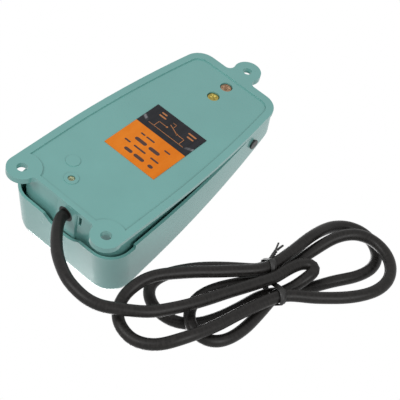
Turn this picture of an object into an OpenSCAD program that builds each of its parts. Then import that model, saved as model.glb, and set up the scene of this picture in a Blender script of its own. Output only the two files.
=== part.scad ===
// Foot switch for a sewing machine: a cast base plate with three ears and low walls, a hinged
// tray-shaped pedal over it, a snap switch with a roller lever inside, and its cord.
// +Z is up, the base stands on z = 0, the cord leaves the toe end at -Y, the hinge is at +Y.

/* [Base casting] */
// Length of the base plate without its ears
base_l = 142.4; // [138:0.2:148]
// Width of the base plate at the toe end
base_w = 77; // [75:0.5:80]
// Radius of the bow that draws the long sides in towards the hinge end
bow_r = 717; // [600:1:1200]
// Distance from the toe edge at which the bow starts
bow_start = 30; // [20:1:40]
// Corner radius at the hinge end
far_corner_r = 11; // [9:0.5:13]
// Thickness of the base plate
floor_t = 2.4; // [2:0.1:3]
// Height of the base walls at the toe end
wall_h_front = 27; // [24:0.5:28]
// Height of the base walls at the hinge end
wall_h_rear = 18.5; // [17.5:0.5:20]
// Thickness of the base walls
wall_t = 2.2; // [1.8:0.1:2.6]
// Distance from the plate's edge in to the outside of the side walls
wall_inset = 4.2; // [4:0.1:5]
// Setback of the toe end wall from the toe edge
toe_setback = 1; // [0.8:0.1:1.5]
// Draft of the toe end wall, in degrees
wall_draft = 2.7; // [2:0.1:4]
// Depth of the recessed field in the underside
field_depth = 0.8; // [0.6:0.1:1]
// Width of the raised rim round that field
field_rim = 4.2; // [3:0.1:5]

/* [Ears] */
// Distance between the two holes at the toe end
ear_pitch = 60; // [58:0.5:60]
// Distance from the line of those holes to the hole at the hinge end
ear_reach = 149.5; // [148:0.5:152]
// Radius of the ears at the toe end
ear_r = 8.5; // [8:0.1:8.5]
// Radius of the ear at the hinge end
far_ear_r = 8; // [7.5:0.1:8.5]
// Thickness of the ears
ear_t = 3.5; // [3:0.1:4]
// Diameter of the holes at the toe end
ear_hole_d = 6; // [5:0.1:6.5]
// Diameter of the hole at the hinge end
far_hole_d = 5.2; // [5:0.1:6]

/* [Pedal] */
// Sheet thickness of the pedal's walls
pedal_wall = 1.6; // [1.2:0.1:1.8]
// Thickness of the tread
tread_t = 2.2; // [1.8:0.1:2.6]
// Height of the tread over the hinge axis
tread_over_hinge = 14; // [13.5:0.5:16]
// Slope of the tread against the pedal's rim, in degrees
tread_slope = 7.7; // [7.2:0.1:8.2]
// Angle at which the rim stands to the base plate when the pedal is up, in degrees
rest_angle = 6; // [5.5:0.1:6.5]
// Angle through which the pedal can be pressed, in degrees
press_angle = 4; // [3:0.5:4]
// Corner radius at the toe end
pedal_corner_r = 14.5; // [12:0.5:16]
// Radius of the rounded edge round the tread
edge_r = 5; // [4:0.5:5.5]
// Overhang of the pedal's rim past the toe edge of the base plate
rim_overhang = 2.3; // [2.2:0.1:3]
// Setback of the tread's toe edge from that rim
toe_lean = 1.5; // [1:0.1:2]
// Extra height of the rim along the toe end, over the ears
toe_relief = 2.8; // [2.4:0.1:3.5]
// Half width of the arch over the cord
arch_half_w = 12.7; // [11:0.1:13]
// Rise of that arch
arch_rise = 5.6; // [5:0.1:6]
// Number of anti-slip ribs across the tread
rib_n = 9; // [7:1:9]

/* [Hinge] */
// Diameter of the hinge pin
pin_d = 5; // [4.5:0.1:5.5]
// Distance of the hinge axis from the toe edge of the base plate
hinge_from_toe = 117.5; // [116:0.5:119]
// Height of the hinge axis
hinge_z = 11.5; // [11:0.1:12.5]
// Thickness of a hinge washer
washer_t = 0.8; // [0.6:0.1:1]

/* [Return spring] */
// Outside diameter of the return spring
spring_d = 15; // [14:0.5:16]
// Wire diameter of the return spring
spring_wire = 1.6; // [1.2:0.1:1.8]
// Number of turns of the return spring
spring_turns = 7; // [6:1:9]
// Distance of the return spring from the toe edge of the base plate
spring_from_toe = 36; // [35:0.5:38]

/* [Switch] */
// Length of the switch case
case_l = 27.8; // [26:0.1:30]
// Height of the switch case
case_h = 15.9; // [15:0.1:17]
// Width of the switch case
case_w = 10.3; // [9.5:0.1:12]
// Distance of the switch case from the toe edge of the base plate
case_from_toe = 57; // [56:0.5:58]
// Length of the roller lever from its pin to its roller
lever_l = 31; // [30:0.5:32]
// Diameter of the roller
roller_d = 5; // [4.5:0.1:5.5]
// Diameter of the switch screws
switch_screw_d = 3; // [2.6:0.1:3]
// Width of the steel plate that carries the switch
plate_w = 24; // [22:1:30]
// Thickness of that plate
plate_t = 1.6; // [1.2:0.1:2]
// Height of the posts under that plate
plate_z = 4.6; // [4.5:0.1:4.8]

/* [Terminal block] */
// Length of the terminal block
term_l = 18; // [17:0.5:19]
// Width of the terminal block
term_w = 11; // [11:0.2:12]
// Height of the terminal block
term_h = 9; // [8:0.5:11]

/* [Label] */
// Width of the label plate across the underside
label_w = 35.6; // [30:0.2:40]
// Length of the label plate along the underside
label_l = 43.2; // [38:0.2:46]
// Thickness of the label plate
label_t = 0.4; // [0.2:0.1:0.6]

/* [Cord] */
// Diameter of the cord
cord_d = 6.3; // [6:0.1:6.4]
// Distance of the cord from the centreline
cord_x = -2.3; // [-2.5:0.1:-1.5]
// Height of the cord's axis in its boss
cord_z = 8.4; // [8.2:0.1:8.8]
// Diameter of the hole for the cord's bush
cord_hole_d = 9.2; // [8.6:0.1:9.4]
// Width of the boss round that hole
boss_w = 15; // [13:0.5:16]

/* [Hidden] */
$fn = 48;

// Clearances.
fit_gap = 0.05;      // radial play of a pin that turns or slides in its bore
slip_gap = 0.02;     // radial play of a part that is held in its hole
clear = 0.3;         // between parts that move past each other
eps = 0.01;

// Places along the length, with the origin under the middle of the whole base.
toe_y = ear_r - (ear_reach + ear_r + far_ear_r) / 2;     // toe edge and line of the toe holes
far_y = toe_y + base_l;                                  // edge at the hinge end
far_hole_y = toe_y + ear_reach;
hinge_y = toe_y + hinge_from_toe;
spring_y = toe_y + spring_from_toe;
case_y = toe_y + case_from_toe;

// Outlines seen from above.
arc_n = 8;
function half_w(y) = base_w / 2 - pow(max(0, y - toe_y - bow_start), 2) / (2 * bow_r);
function bow_angle(y) = atan(max(0, y - toe_y - bow_start) / bow_r);
function corner(cx, cy, r, from, to) =
    [for (i = [0:arc_n]) let (a = from + (to - from) * i / arc_n) [cx + r * cos(a), cy + r * sin(a)]];
function mirrored(points) = [for (i = [len(points) - 1:-1:0]) [-points[i][0], points[i][1]]];
// One closed outline: inset from the plate's long sides, between two ends, with rounded corners.
function plan(inset, y_near, near_r, y_far, far_r) =
    let (
        near = near_r == 0
            ? [[half_w(y_near) - inset, y_near]]
            : corner(half_w(y_near) - inset - near_r, y_near + near_r, near_r, -90, 0),
        turn = bow_angle(y_far - far_r),
        tangent_y = y_far - far_r + far_r * sin(turn),
        corner_x = half_w(tangent_y) - inset - far_r * cos(turn),
        side = [for (i = [1:10])
            let (y = y_near + near_r + (tangent_y - y_near - near_r) * i / 11) [half_w(y) - inset, y]],
        far = corner(corner_x, y_far - far_r, far_r, turn, 90),
        right = concat(near, side, far)
    )
    concat(right, mirrored(right));

// Base walls.
wall_near_r = 12;
function toe_wall_y(z) = toe_y + toe_setback + z * tan(wall_draft);
function wall_plan(inset, y_near) =
    plan(wall_inset + inset, y_near + inset, wall_near_r - inset, far_y - wall_inset - inset,
        far_corner_r - inset - 1);

// Pedal, drawn with its rim level and turned about the hinge to its place when it is up.
pedal_gap = 0.2;                                   // pedal's walls stand this far inside the edge
rim_z = floor_t + clear + 0.2;
toe_rim_z = rim_z + toe_relief;
pedal_far_y = far_y - pedal_gap;
relief_end = toe_y + 16;
tread_pivot_z = hinge_z + tread_over_hinge;
function tread_z(y) = tread_pivot_z + (hinge_y - y) * tan(tread_slope);
module at_rest() {
    translate([0, hinge_y, hinge_z])
        rotate([-rest_angle, 0, 0])
            translate([0, -hinge_y, -hinge_z])
                children();
}
// Moves a flat outline onto the slope of the tread, a given depth under it.
module on_tread(depth) {
    translate([0, hinge_y, tread_pivot_z - depth])
        rotate([-tread_slope, 0, 0])
            translate([0, -hinge_y, 0])
                children();
}
// Distance of the tread's underside from the hinge axis, and its height with the pedal turned.
tread_reach = (tread_over_hinge - tread_t) * cos(tread_slope);
up_slope = tread_slope + rest_angle;
down_slope = up_slope - press_angle;
function under_tread(y, slope) = hinge_z + tread_reach / cos(slope) + (hinge_y - y) * tan(slope);

// Flat faces round the hinge pin.
lug_x = half_w(hinge_y) - wall_inset + 0.8;        // outer face of the base's lugs
pedal_lug_x = lug_x + washer_t + 0.2;              // inner face of the pedal's bosses

// Cord exit.
boss_proud = 1.2;
boss_top = 22.5;
exit_y = toe_wall_y(cord_z) - boss_proud;
bush_wall_y = toe_wall_y(cord_z + cord_hole_d / 2) + wall_t;

// Posts of the base and the screws that show in the underside.
screw_d = 3;
screw_head_d = 5.2;
screw_head_h = 1.7;
counterbore_d = 7.2;
counterbore_top = 3.1;
plate_screw_ys = [toe_y + 119, toe_y + 130.5];
plate_post_d = 8.4;
plate_front_y = case_y - 12;
plate_back_y = toe_y + 135;
plate_top = plate_z + plate_t;
clamp_screw_at = [8.4, toe_y + 14.2];
clamp_hook_at = [cord_x - cord_d / 2 - 4, clamp_screw_at[1]];
clamp_screw_d = 2.5;
clamp_head_d = 4;
clamp_head_z = [0.5, 2.65];
block_screw_at = [16.5, toe_y + 23.6];
pad_d = 7.8;
pad_h = 0.5;
clamp_z = cord_z + cord_d / 2 + slip_gap;
clamp_t = 1.8;
block_z = 6;

// Ear outline with the fillets that blend it into a straight edge at the given height.
module blended_ear(at, r, edge_y, fillet, sides) {
    out = at[1] > edge_y + eps ? 1 : -1;
    rise = abs(at[1] - edge_y);
    reach = sqrt(pow(r + fillet, 2) - pow(fillet - (out > 0 ? rise : 0), 2));
    translate(at) circle(r = r);
    for (sx = sides)
        difference() {
            polygon([
                [at[0] + sx * reach, edge_y],
                [at[0] + sx * reach, edge_y + out * fillet],
                [at[0], at[1] - out * min(rise, 2)],
                [at[0], edge_y - out * eps]
            ]);
            translate([at[0] + sx * reach, edge_y + out * fillet]) circle(r = fillet);
        }
}

module base_post(at, d, top) {
    translate([at[0], at[1], field_depth + eps]) cylinder(d = d, h = top - field_depth - eps);
}

module base_walls() {
    difference() {
        hull() {
            translate([0, 0, floor_t - eps])
                linear_extrude(eps) polygon(wall_plan(0, toe_wall_y(floor_t)));
            translate([0, 0, wall_h_front])
                linear_extrude(eps) polygon(wall_plan(0, toe_wall_y(wall_h_front)));
        }
        hull() {
            translate([0, 0, floor_t - 2 * eps])
                linear_extrude(eps) polygon(wall_plan(wall_t, toe_wall_y(floor_t)));
            translate([0, 0, wall_h_front + 1])
                linear_extrude(eps) polygon(wall_plan(wall_t, toe_wall_y(wall_h_front)));
        }
        // Slope of the walls' top edge, down to the hinge end.
        rotate([90, 0, 90])
            translate([0, 0, -base_w])
                linear_extrude(2 * base_w)
                    polygon([
                        [toe_y, wall_h_front - 0.5], [hinge_y, wall_h_rear],
                        [far_y + 1, wall_h_rear - 1.5], [far_y + 1, wall_h_front + 5],
                        [toe_y, wall_h_front + 5]
                    ]);
    }
}

// Raised pad on the toe wall, round the cord's hole, with rounded upright edges.
module cord_boss() {
    front = toe_wall_y(0) - boss_proud;
    intersection() {
        union() {
            for (sx = [-1, 1])
                translate([cord_x + sx * (boss_w / 2 - 2.5), front + 2.5, floor_t / 2])
                    cylinder(r = 2.5, h = boss_top);
            translate([cord_x - boss_w / 2 + 2.5, front, floor_t / 2])
                cube([boss_w - 5, 6, boss_top]);
            translate([cord_x - boss_w / 2, front + 2.5, floor_t / 2])
                cube([boss_w, wall_t + 0.5, boss_top]);
        }
        // It keeps the draft of the wall that it stands out of.
        rotate([90, 0, 90])
            translate([0, 0, cord_x - boss_w])
                linear_extrude(2 * boss_w)
                    polygon([
                        [toe_wall_y(0) - boss_proud, 0],
                        [toe_wall_y(boss_top) - boss_proud, boss_top],
                        [toe_wall_y(boss_top) + wall_t / 2, boss_top],
                        [toe_wall_y(0) + wall_t / 2, 0]
                    ]);
    }
}

module base() {
    color([0.49, 0.69, 0.66])
        difference() {
            union() {
                difference() {
                    union() {
                        linear_extrude(floor_t)
                            polygon(plan(0, toe_y, 0, far_y, far_corner_r));
                        // The ears are thicker than the plate, outside the pedal.
                        for (sx = [-1, 1])
                            linear_extrude(ear_t)
                                blended_ear([sx * ear_pitch / 2, toe_y], ear_r, toe_y, 2.5, [-sx]);
                        difference() {
                            linear_extrude(ear_t)
                                blended_ear([0, far_hole_y], far_ear_r, far_y, 3.5, [-1, 1]);
                            translate([-base_w / 2, far_y - 20, floor_t])
                                cube([base_w, 20 + clear, ear_t]);
                        }
                    }
                    translate([0, 0, -eps])
                        linear_extrude(field_depth + eps)
                            difference() {
                                polygon(plan(field_rim, toe_y + 3, 4, far_y - 4.8, 7));
                                for (sx = [-1, 1])
                                    translate([sx * ear_pitch / 2, toe_y]) circle(r = 10.5);
                            }
                }
                base_walls();
                cord_boss();
                for (y = plate_screw_ys) base_post([0, y], plate_post_d, plate_z);
                base_post([0, plate_front_y + 5], plate_post_d, plate_z);
                base_post(clamp_screw_at, pad_d, clamp_z);
                base_post(clamp_hook_at, 5, clamp_z);
                base_post(block_screw_at, pad_d, block_z);
                // Raised pads under the two posts by the cord.
                for (at = [clamp_screw_at, block_screw_at])
                    translate([at[0], at[1], field_depth - pad_h])
                        cylinder(d = pad_d, h = pad_h + 2 * eps);
                // Saddle under the cord's clamp.
                translate([cord_x - 3, clamp_screw_at[1] - 3.5, floor_t - eps])
                    cube([6, 7, cord_z - cord_d / 2 - slip_gap - floor_t + eps]);
                // Post that centres the return spring.
                translate([0, spring_y, floor_t - eps])
                    cylinder(d = spring_d - 2 * spring_wire - 2 * clear, h = 8);
                // Lugs with flat faces round the hinge pin, on feet that reach the plate.
                for (sx = [-1, 1])
                    translate([sx * lug_x, hinge_y, hinge_z])
                        rotate([0, -sx * 90, 0]) cylinder(d = 11, h = wall_t + 3);
                for (sx = [-1, 1])
                    translate([sx * (lug_x - 1.4 - wall_t / 2) - 1.5 - wall_t / 2, hinge_y - 4, floor_t - eps])
                        cube([3 + wall_t, 8, hinge_z - floor_t]);
            }
            // Holes of the ears.
            for (sx = [-1, 1])
                translate([sx * ear_pitch / 2, toe_y, -1]) cylinder(d = ear_hole_d, h = ear_t + 2);
            translate([0, far_hole_y, -1]) cylinder(d = far_hole_d, h = ear_t + 2);
            // Hinge bores.
            translate([-base_w / 2, hinge_y, hinge_z])
                rotate([0, 90, 0]) cylinder(d = pin_d + 2 * fit_gap, h = base_w);
            // Hole for the cord's bush, and the narrow slot beside its boss.
            translate([cord_x, toe_y + wall_t + 6, cord_z])
                rotate([90, 0, 0]) cylinder(d = cord_hole_d, h = 20);
            translate([cord_x - boss_w / 2 - 2.6, toe_y - 5, floor_t + 0.6]) cube([1.8, 12, 7.5]);
            // Counterbores and clearance holes of the plate screws.
            for (y = plate_screw_ys)
                translate([0, y, -1]) {
                    cylinder(d = counterbore_d, h = 1 + counterbore_top);
                    cylinder(d = screw_d + 2 * slip_gap, h = plate_z + 2);
                }
            // Clamp screw's hole, with a seat for its head.
            translate([clamp_screw_at[0], clamp_screw_at[1], -1]) {
                cylinder(d = clamp_screw_d + 2 * slip_gap, h = clamp_z + 2);
                cylinder(d = clamp_head_d + 2 * slip_gap, h = 1 + clamp_head_z[1] + slip_gap);
            }
            // Blind hole for the screw of the terminal block.
            translate([block_screw_at[0], block_screw_at[1], floor_t])
                cylinder(d = clamp_screw_d, h = block_z);
        }
}

// Solid inside the pedal's surface, a given wall inside it.
module pedal_shell(wall, drop, near_r) {
    hull() {
        translate([0, 0, rim_z])
            linear_extrude(eps)
                polygon(plan(pedal_gap + wall, toe_y - rim_overhang + wall, near_r,
                    pedal_far_y - wall, far_corner_r - wall));
        for (i = [0:4]) {
            a = i * 22.5;
            inset = wall + (edge_r - wall) * (1 - cos(a));
            on_tread(drop + (edge_r - wall) * (1 - sin(a)))
                linear_extrude(eps)
                    polygon(plan(pedal_gap + inset, toe_y - rim_overhang + toe_lean + inset,
                        near_r - inset + wall, pedal_far_y - inset, far_corner_r - inset));
        }
    }
}

module pedal_post(at, d, foot_z) {
    translate([at[0], at[1], foot_z]) cylinder(d = d, h = tread_z(at[1]) - tread_t / 2 - foot_z);
}

// Rubber buffers on the base, and the posts of the pedal that meet them.
buffer_at = [24.5, toe_y + 13];
buffer_d = 8.4;
buffer_h = 4;
// Height of a point with the pedal drawn level, from its height when the pedal is pressed.
function drawn_z(y, pressed_z) = pressed_z - (hinge_y - y) * sin(rest_angle - press_angle);

// Ends of the return spring, between the plate and its seat in the pedal.
seat_h = 1.5;
spring_low = floor_t + clear / 2;
spring_high = under_tread(spring_y, up_slope) - seat_h - 2.2;

module pedal() {
    arch_r = (pow(arch_half_w, 2) + pow(arch_rise, 2)) / (2 * arch_rise);
    color([0.52, 0.70, 0.67])
        difference() {
            union() {
                at_rest()
                    difference() {
                        union() {
                            difference() {
                                pedal_shell(0, 0, pedal_corner_r);
                                translate([0, 0, -2 * eps])
                                    pedal_shell(pedal_wall, tread_t, pedal_corner_r - pedal_wall);
                            }
                            // Bosses with flat faces round the pin's ends, inside the walls.
                            for (sx = [-1, 1])
                                translate([sx * pedal_lug_x, hinge_y, hinge_z])
                                    rotate([0, sx * 90, 0])
                                        cylinder(d = 10, h = half_w(hinge_y) - pedal_gap - 0.8 - pedal_lug_x);
                            // Posts that meet the rubber buffers when the pedal is down.
                            for (sx = [-1, 1])
                                pedal_post([sx * buffer_at[0], buffer_at[1]], 5.5,
                                    drawn_z(buffer_at[1], floor_t + buffer_h + clear));
                            // Ribs across the tread.
                            for (i = [0:rib_n - 1])
                                on_tread(0)
                                    translate([-25, toe_y + 20 + i * 11, -0.6]) cube([50, 2.6, 1.4]);
                        }
                        // Higher rim along the toe end and round its corners.
                        translate([-base_w, toe_y - 20, rim_z - 5])
                            cube([2 * base_w, relief_end - toe_y + 20, 5 + toe_relief]);
                        // Arch over the cord.
                        translate([cord_x + 0.4, toe_y + 8, toe_rim_z + arch_rise - arch_r])
                            rotate([90, 0, 0]) cylinder(r = arch_r, h = 40, $fn = 96);
                        // Bores for the hinge pin.
                        translate([-base_w, hinge_y, hinge_z])
                            rotate([0, 90, 0]) cylinder(d = pin_d + 2 * slip_gap, h = 2 * base_w);
                    }
                // Seat of the return spring, level when the pedal is up.
                intersection() {
                    translate([0, spring_y, spring_high + clear / 2]) {
                        cylinder(d = spring_d + 1, h = 12);
                        translate([0, 0, -5])
                            cylinder(d = spring_d - 2 * spring_wire - 1.6, h = 6);
                    }
                    at_rest() pedal_shell(pedal_wall / 2, tread_t / 2, pedal_corner_r - pedal_wall / 2);
                }
            }
            // Behind the hinge the rim stops just over the base plate while the pedal is up.
            translate([-base_w, toe_y - 20, -10])
                cube([2 * base_w, base_l + 60, 10 + floor_t + clear]);
        }
}

module hinge_pin() {
    reach = half_w(hinge_y) - pedal_gap + 0.7;
    head_t = 0.8;
    color([0.66, 0.67, 0.66])
        translate([-reach - head_t, hinge_y, hinge_z])
            rotate([0, 90, 0]) {
                cylinder(d = pin_d, h = 2 * (reach + head_t));
                cylinder(d = pin_d + 1, h = head_t);
                translate([0, 0, 2 * reach + head_t]) cylinder(d = pin_d + 1, h = head_t);
            }
}

module hinge_washers() {
    color([0.9, 0.88, 0.8])
        for (sx = [-1, 1])
            translate([sx * (lug_x + 0.1), hinge_y, hinge_z])
                rotate([0, sx * 90, 0])
                    difference() {
                        cylinder(d = 10, h = washer_t);
                        translate([0, 0, -1]) cylinder(d = pin_d + 2 * fit_gap, h = washer_t + 2);
                    }
}

// Tubes swept along a list of points.
function unit(v) = v / norm(v);
function tangent(p, i) = unit(p[min(i + 1, len(p) - 1)] - p[max(i - 1, 0)]);
function ring(p, i, r, sides) =
    let (t = tangent(p, i), side = unit(cross([0, 0, 1], t)), up = cross(t, side))
    [for (k = [0:sides - 1]) p[i] + r * (cos(360 * k / sides) * side + sin(360 * k / sides) * up)];
module swept_tube(p, d, sides) {
    n = len(p);
    points = [for (i = [0:n - 1]) each ring(p, i, d / 2, sides)];
    walls = [for (i = [0:n - 2], k = [0:sides - 1])
        let (a = i * sides + k, b = i * sides + (k + 1) % sides)
        each [[a, a + sides, b], [b, a + sides, b + sides]]];
    near_cap = [for (k = [1:sides - 2]) [0, k, k + 1]];
    far_cap = [for (k = [1:sides - 2]) let (o = (n - 1) * sides) [o, o + k + 1, o + k]];
    polyhedron(points, concat(walls, near_cap, far_cap));
}
// Smooth points through a short list, with a given number of steps in each span.
function spline(p, steps) = [
    for (i = [0:len(p) - 2], j = [0:steps - 1])
        let (
            a = i == 0 ? 2 * p[0] - p[1] : p[i - 1], b = p[i], c = p[i + 1],
            d = i == len(p) - 2 ? 2 * c - b : p[i + 2], t = j / steps
        )
        0.5 * (2 * b + (c - a) * t + (2 * a - 5 * b + 4 * c - d) * t * t
            + (3 * b - a - 3 * c + d) * t * t * t),
    p[len(p) - 1]
];

module return_spring() {
    low = spring_low + spring_wire / 2;
    high = spring_high - spring_wire / 2;
    steps = spring_turns * 12;
    color([0.75, 0.76, 0.76])
        swept_tube([for (i = [0:steps])
            let (a = 30 * i, r = (spring_d - spring_wire) / 2)
            [r * cos(a), spring_y + r * sin(a), low + (high - low) * i / steps]], spring_wire, 6);
}

module press_buffers() {
    color([0.12, 0.12, 0.12])
        for (sx = [-1, 1])
            translate([sx * buffer_at[0], buffer_at[1], floor_t]) {
                cylinder(d = buffer_d, h = buffer_h - 1);
                cylinder(d = buffer_d - 2, h = buffer_h);
            }
}

// Switch: its case stands on edge on a folded steel plate, over the base plate.
case_gap = 3.2;                                    // room for the terminals under the case
case_z = plate_top + case_gap;
case_top = case_z + case_h;
cover_t = 1;
case_wall = 1.2;
case_hole_ys = [case_y + 2.8, case_y + case_l - 2.8];
case_hole_z = case_z + 3;
upright_x = -case_w / 2 - slip_gap;
lever_pin_y = case_y + case_l - 2.5;
lever_pin_z = case_top + 1.8;
lever_pin_d = 1.6;
lever_w = 4.4;
lever_t = 0.8;
clevis_w = 1.4;
// Slope of the lever that keeps its roller just under the tread, at a given slope of the tread.
function lever_slope(slope) =
    let (
        pin_reach = (lever_pin_y - hinge_y) * sin(slope) + (lever_pin_z - hinge_z) * cos(slope),
        roller_reach = tread_reach - roller_d / 2 - clear
    )
    slope + asin((roller_reach - pin_reach) / lever_l);
lever_up = lever_slope(up_slope);
lever_down = lever_slope(down_slope);
roller_y = lever_pin_y - lever_l * cos(lever_up);
roller_z = lever_pin_z + lever_l * sin(lever_up);
plunger_d = 2.6;
plunger_y = lever_pin_y - 7;
function under_lever(slope) = lever_pin_z + 7 * tan(slope) - lever_t / 2 / cos(slope);
plunger_top = under_lever(lever_up) - plunger_d / 2 * tan(lever_up) - 0.15;
plunger_travel = under_lever(lever_up) - under_lever(lever_down);

module across(at, d, w) {
    translate([at[0] - w / 2, at[1], at[2]]) rotate([0, 90, 0]) cylinder(d = d, h = w);
}

module switch_plate() {
    color([0.72, 0.70, 0.64])
        difference() {
            union() {
                translate([-plate_w / 2, plate_front_y, plate_z])
                    cube([plate_w, plate_back_y - plate_front_y, plate_t]);
                // Upright flange behind the switch case.
                translate([upright_x - plate_t, case_y - 1, plate_z])
                    cube([plate_t, case_l + 2, case_hole_z + 3.5 - plate_z]);
            }
            for (y = plate_screw_ys)
                translate([0, y, plate_z - 1]) cylinder(d = screw_d + 2 * slip_gap, h = plate_t + 2);
            for (y = case_hole_ys)
                across([upright_x, y, case_hole_z], switch_screw_d + 2 * slip_gap, 6);
        }
}

module cross_slot(d, depth, w) {
    for (a = [45, 135])
        rotate([0, 0, a]) translate([-d / 2, -w / 2, 0]) cube([d, w, depth]);
}

module plate_screws() {
    color([0.78, 0.62, 0.25])
        for (y = plate_screw_ys)
            translate([0, y, counterbore_top - screw_head_h])
                difference() {
                    union() {
                        cylinder(d = screw_head_d, h = screw_head_h);
                        cylinder(d = screw_d, h = plate_top + 0.6 - counterbore_top + screw_head_h);
                    }
                    translate([0, 0, -eps]) cross_slot(3.6, 0.9, 0.8);
                }
}

// Inside of the switch case.
cavity_z = case_hole_z + switch_screw_d / 2 + 1;
cavity_h = case_top - case_wall - cavity_z;
cavity_y = case_y + case_wall + 1.4;
cavity_l = case_l - 2 * case_wall - 2;
tab_w = 4.8;
tab_t = 0.8;
tab_ys = [case_y + 6, case_y + 13.4, case_y + case_l - 6.8];
blade_t = 0.5;
blade_l = 17;
button_d = 2.6;
button_h = 0.5;
blade_pivot = [tab_ys[0] + 0.5, cavity_z + cavity_h / 2];
contact_reach = blade_l - button_d / 2 - 0.4;
contact_y = blade_pivot[0] + contact_reach;
blade_swing = 3.0;                                 // half of the blade's travel, in degrees
contact_gap = contact_reach * tan(blade_swing) + button_h + blade_t / 2 + 0.15;

module tab_plate(y, w, z0, z1) {
    translate([-w / 2, y - tab_t / 2, z0]) cube([w, tab_t, z1 - z0]);
}

module switch_case() {
    color([0.16, 0.16, 0.17])
        difference() {
            union() {
                translate([-case_w / 2, case_y, case_z]) cube([case_w - cover_t, case_l, case_h]);
                // Clevis of the lever's pin.
                for (sx = [-1, 1])
                    translate([sx * (lever_w / 2 + clear + clevis_w / 2) - clevis_w / 2, lever_pin_y - 2, case_top - eps])
                        cube([clevis_w, 4, lever_pin_z - case_top + 1.3]);
            }
            // Cavity, open towards the cover.
            translate([-case_w / 2 + case_wall, cavity_y, cavity_z]) cube([case_w, cavity_l, cavity_h]);
            // Slots of the terminals, also open towards the cover.
            for (y = tab_ys)
                translate([-tab_w / 2 - slip_gap, y - tab_t / 2 - slip_gap, case_z - 1])
                    cube([case_w, tab_t + 2 * slip_gap, cavity_z - case_z + 1.1]);
            for (y = case_hole_ys)
                across([0, y, case_hole_z], switch_screw_d + 2 * slip_gap, 20);
            translate([0, plunger_y, case_top - 3]) cylinder(d = plunger_d + 2 * fit_gap, h = 5);
            across([0, lever_pin_y, lever_pin_z], lever_pin_d + 2 * slip_gap, 20);
        }
}

module switch_cover() {
    color([0.2, 0.2, 0.21])
        difference() {
            translate([case_w / 2 - cover_t + slip_gap, case_y, case_z])
                cube([cover_t, case_l, case_h]);
            for (y = case_hole_ys)
                across([case_w / 2, y, case_hole_z], switch_screw_d + 2 * slip_gap, 6);
        }
}

module switch_screws() {
    head_x = case_w / 2 + 2 * slip_gap;
    color([0.76, 0.76, 0.74])
        for (y = case_hole_ys)
            translate([head_x, y, case_hole_z])
                rotate([0, 90, 0])
                    difference() {
                        union() {
                            cylinder(d = 5, h = 1.6);
                            translate([0, 0, -case_w - plate_t - 3.4])
                                cylinder(d = switch_screw_d, h = case_w + plate_t + 3.4 + eps);
                        }
                        translate([0, 0, 0.9]) cross_slot(3, 1, 0.6);
                    }
}

module switch_nuts() {
    color([0.76, 0.76, 0.74])
        for (y = case_hole_ys)
            difference() {
                translate([upright_x - plate_t - slip_gap, y, case_hole_z])
                    rotate([0, -90, 0]) cylinder(d = 6.35, h = 2.4, $fn = 6);
                across([upright_x - 3, y, case_hole_z], switch_screw_d + 2 * slip_gap, 10);
            }
}

// Terminals: normally open below, normally closed above, common at the blade's foot.
module switch_terminals() {
    low_z = blade_pivot[1] - contact_gap;
    high_z = blade_pivot[1] + contact_gap;
    bar_t = 0.8;
    color([0.82, 0.68, 0.32]) {
        // Normally open: the fixed contact under the blade's end.
        tab_plate(tab_ys[2], tab_w, case_z - 2.6, low_z - 0.4);
        translate([-tab_w / 2, tab_ys[2] - tab_t / 2, low_z - 0.4 - bar_t])
            cube([tab_w, contact_y + 1.6 - tab_ys[2] + tab_t / 2, bar_t]);
        translate([0, contact_y, low_z - 0.4 - eps]) cylinder(d = button_d, h = 0.4 + eps);
        // Normally closed: a hook that reaches up beside the blade and over its end.
        tab_plate(tab_ys[1], tab_w, case_z - 2.6, cavity_z + 0.6);
        translate([-tab_w / 2 - 1, tab_ys[1] - tab_t / 2, cavity_z + clear])
            cube([1.2, tab_t, high_z + 0.4 + bar_t - cavity_z - clear]);
        translate([-tab_w / 2 - 1, tab_ys[1] - tab_t / 2, high_z + 0.4])
            cube([1.2, contact_y + 1.6 - tab_ys[1] + tab_t / 2, bar_t]);
        translate([-tab_w / 2 - 1, contact_y - 1.6, high_z + 0.4])
            cube([tab_w + 0.8, 3.2, bar_t]);
        translate([0, contact_y, high_z]) cylinder(d = button_d, h = 0.4 + eps);
        // Common: a post with a cradle for the blade's rolled end.
        tab_plate(tab_ys[0], tab_w, case_z - 2.6, blade_pivot[1] - 1.2);
        translate([-tab_w / 2, tab_ys[0] - 1.6, blade_pivot[1] - 2]) cube([tab_w, 3.2, 1]);
    }
}

module blade_frame() {
    translate([0, blade_pivot[0], blade_pivot[1]]) rotate([blade_swing, 0, 0]) children();
}
module switch_blade() {
    color([0.84, 0.6, 0.34])
        blade_frame() {
            translate([-1.8, 0, -blade_t / 2]) cube([3.6, blade_l, blade_t]);
            across([0, 0, 0], 1.4, 3.6);
            for (dz = [blade_t / 2 - eps, -blade_t / 2 - button_h + eps])
                translate([0, contact_reach, dz]) cylinder(d = button_d, h = button_h);
        }
}

module switch_plunger() {
    foot_z = blade_pivot[1] + (plunger_y - blade_pivot[0]) * tan(blade_swing) + blade_t / 2 + 0.3;
    color([0.75, 0.15, 0.12])
        translate([0, plunger_y, foot_z]) {
            cylinder(d = plunger_d, h = plunger_top - foot_z);
            cylinder(d = plunger_d + 1.2, h = 0.8);
        }
}

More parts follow.
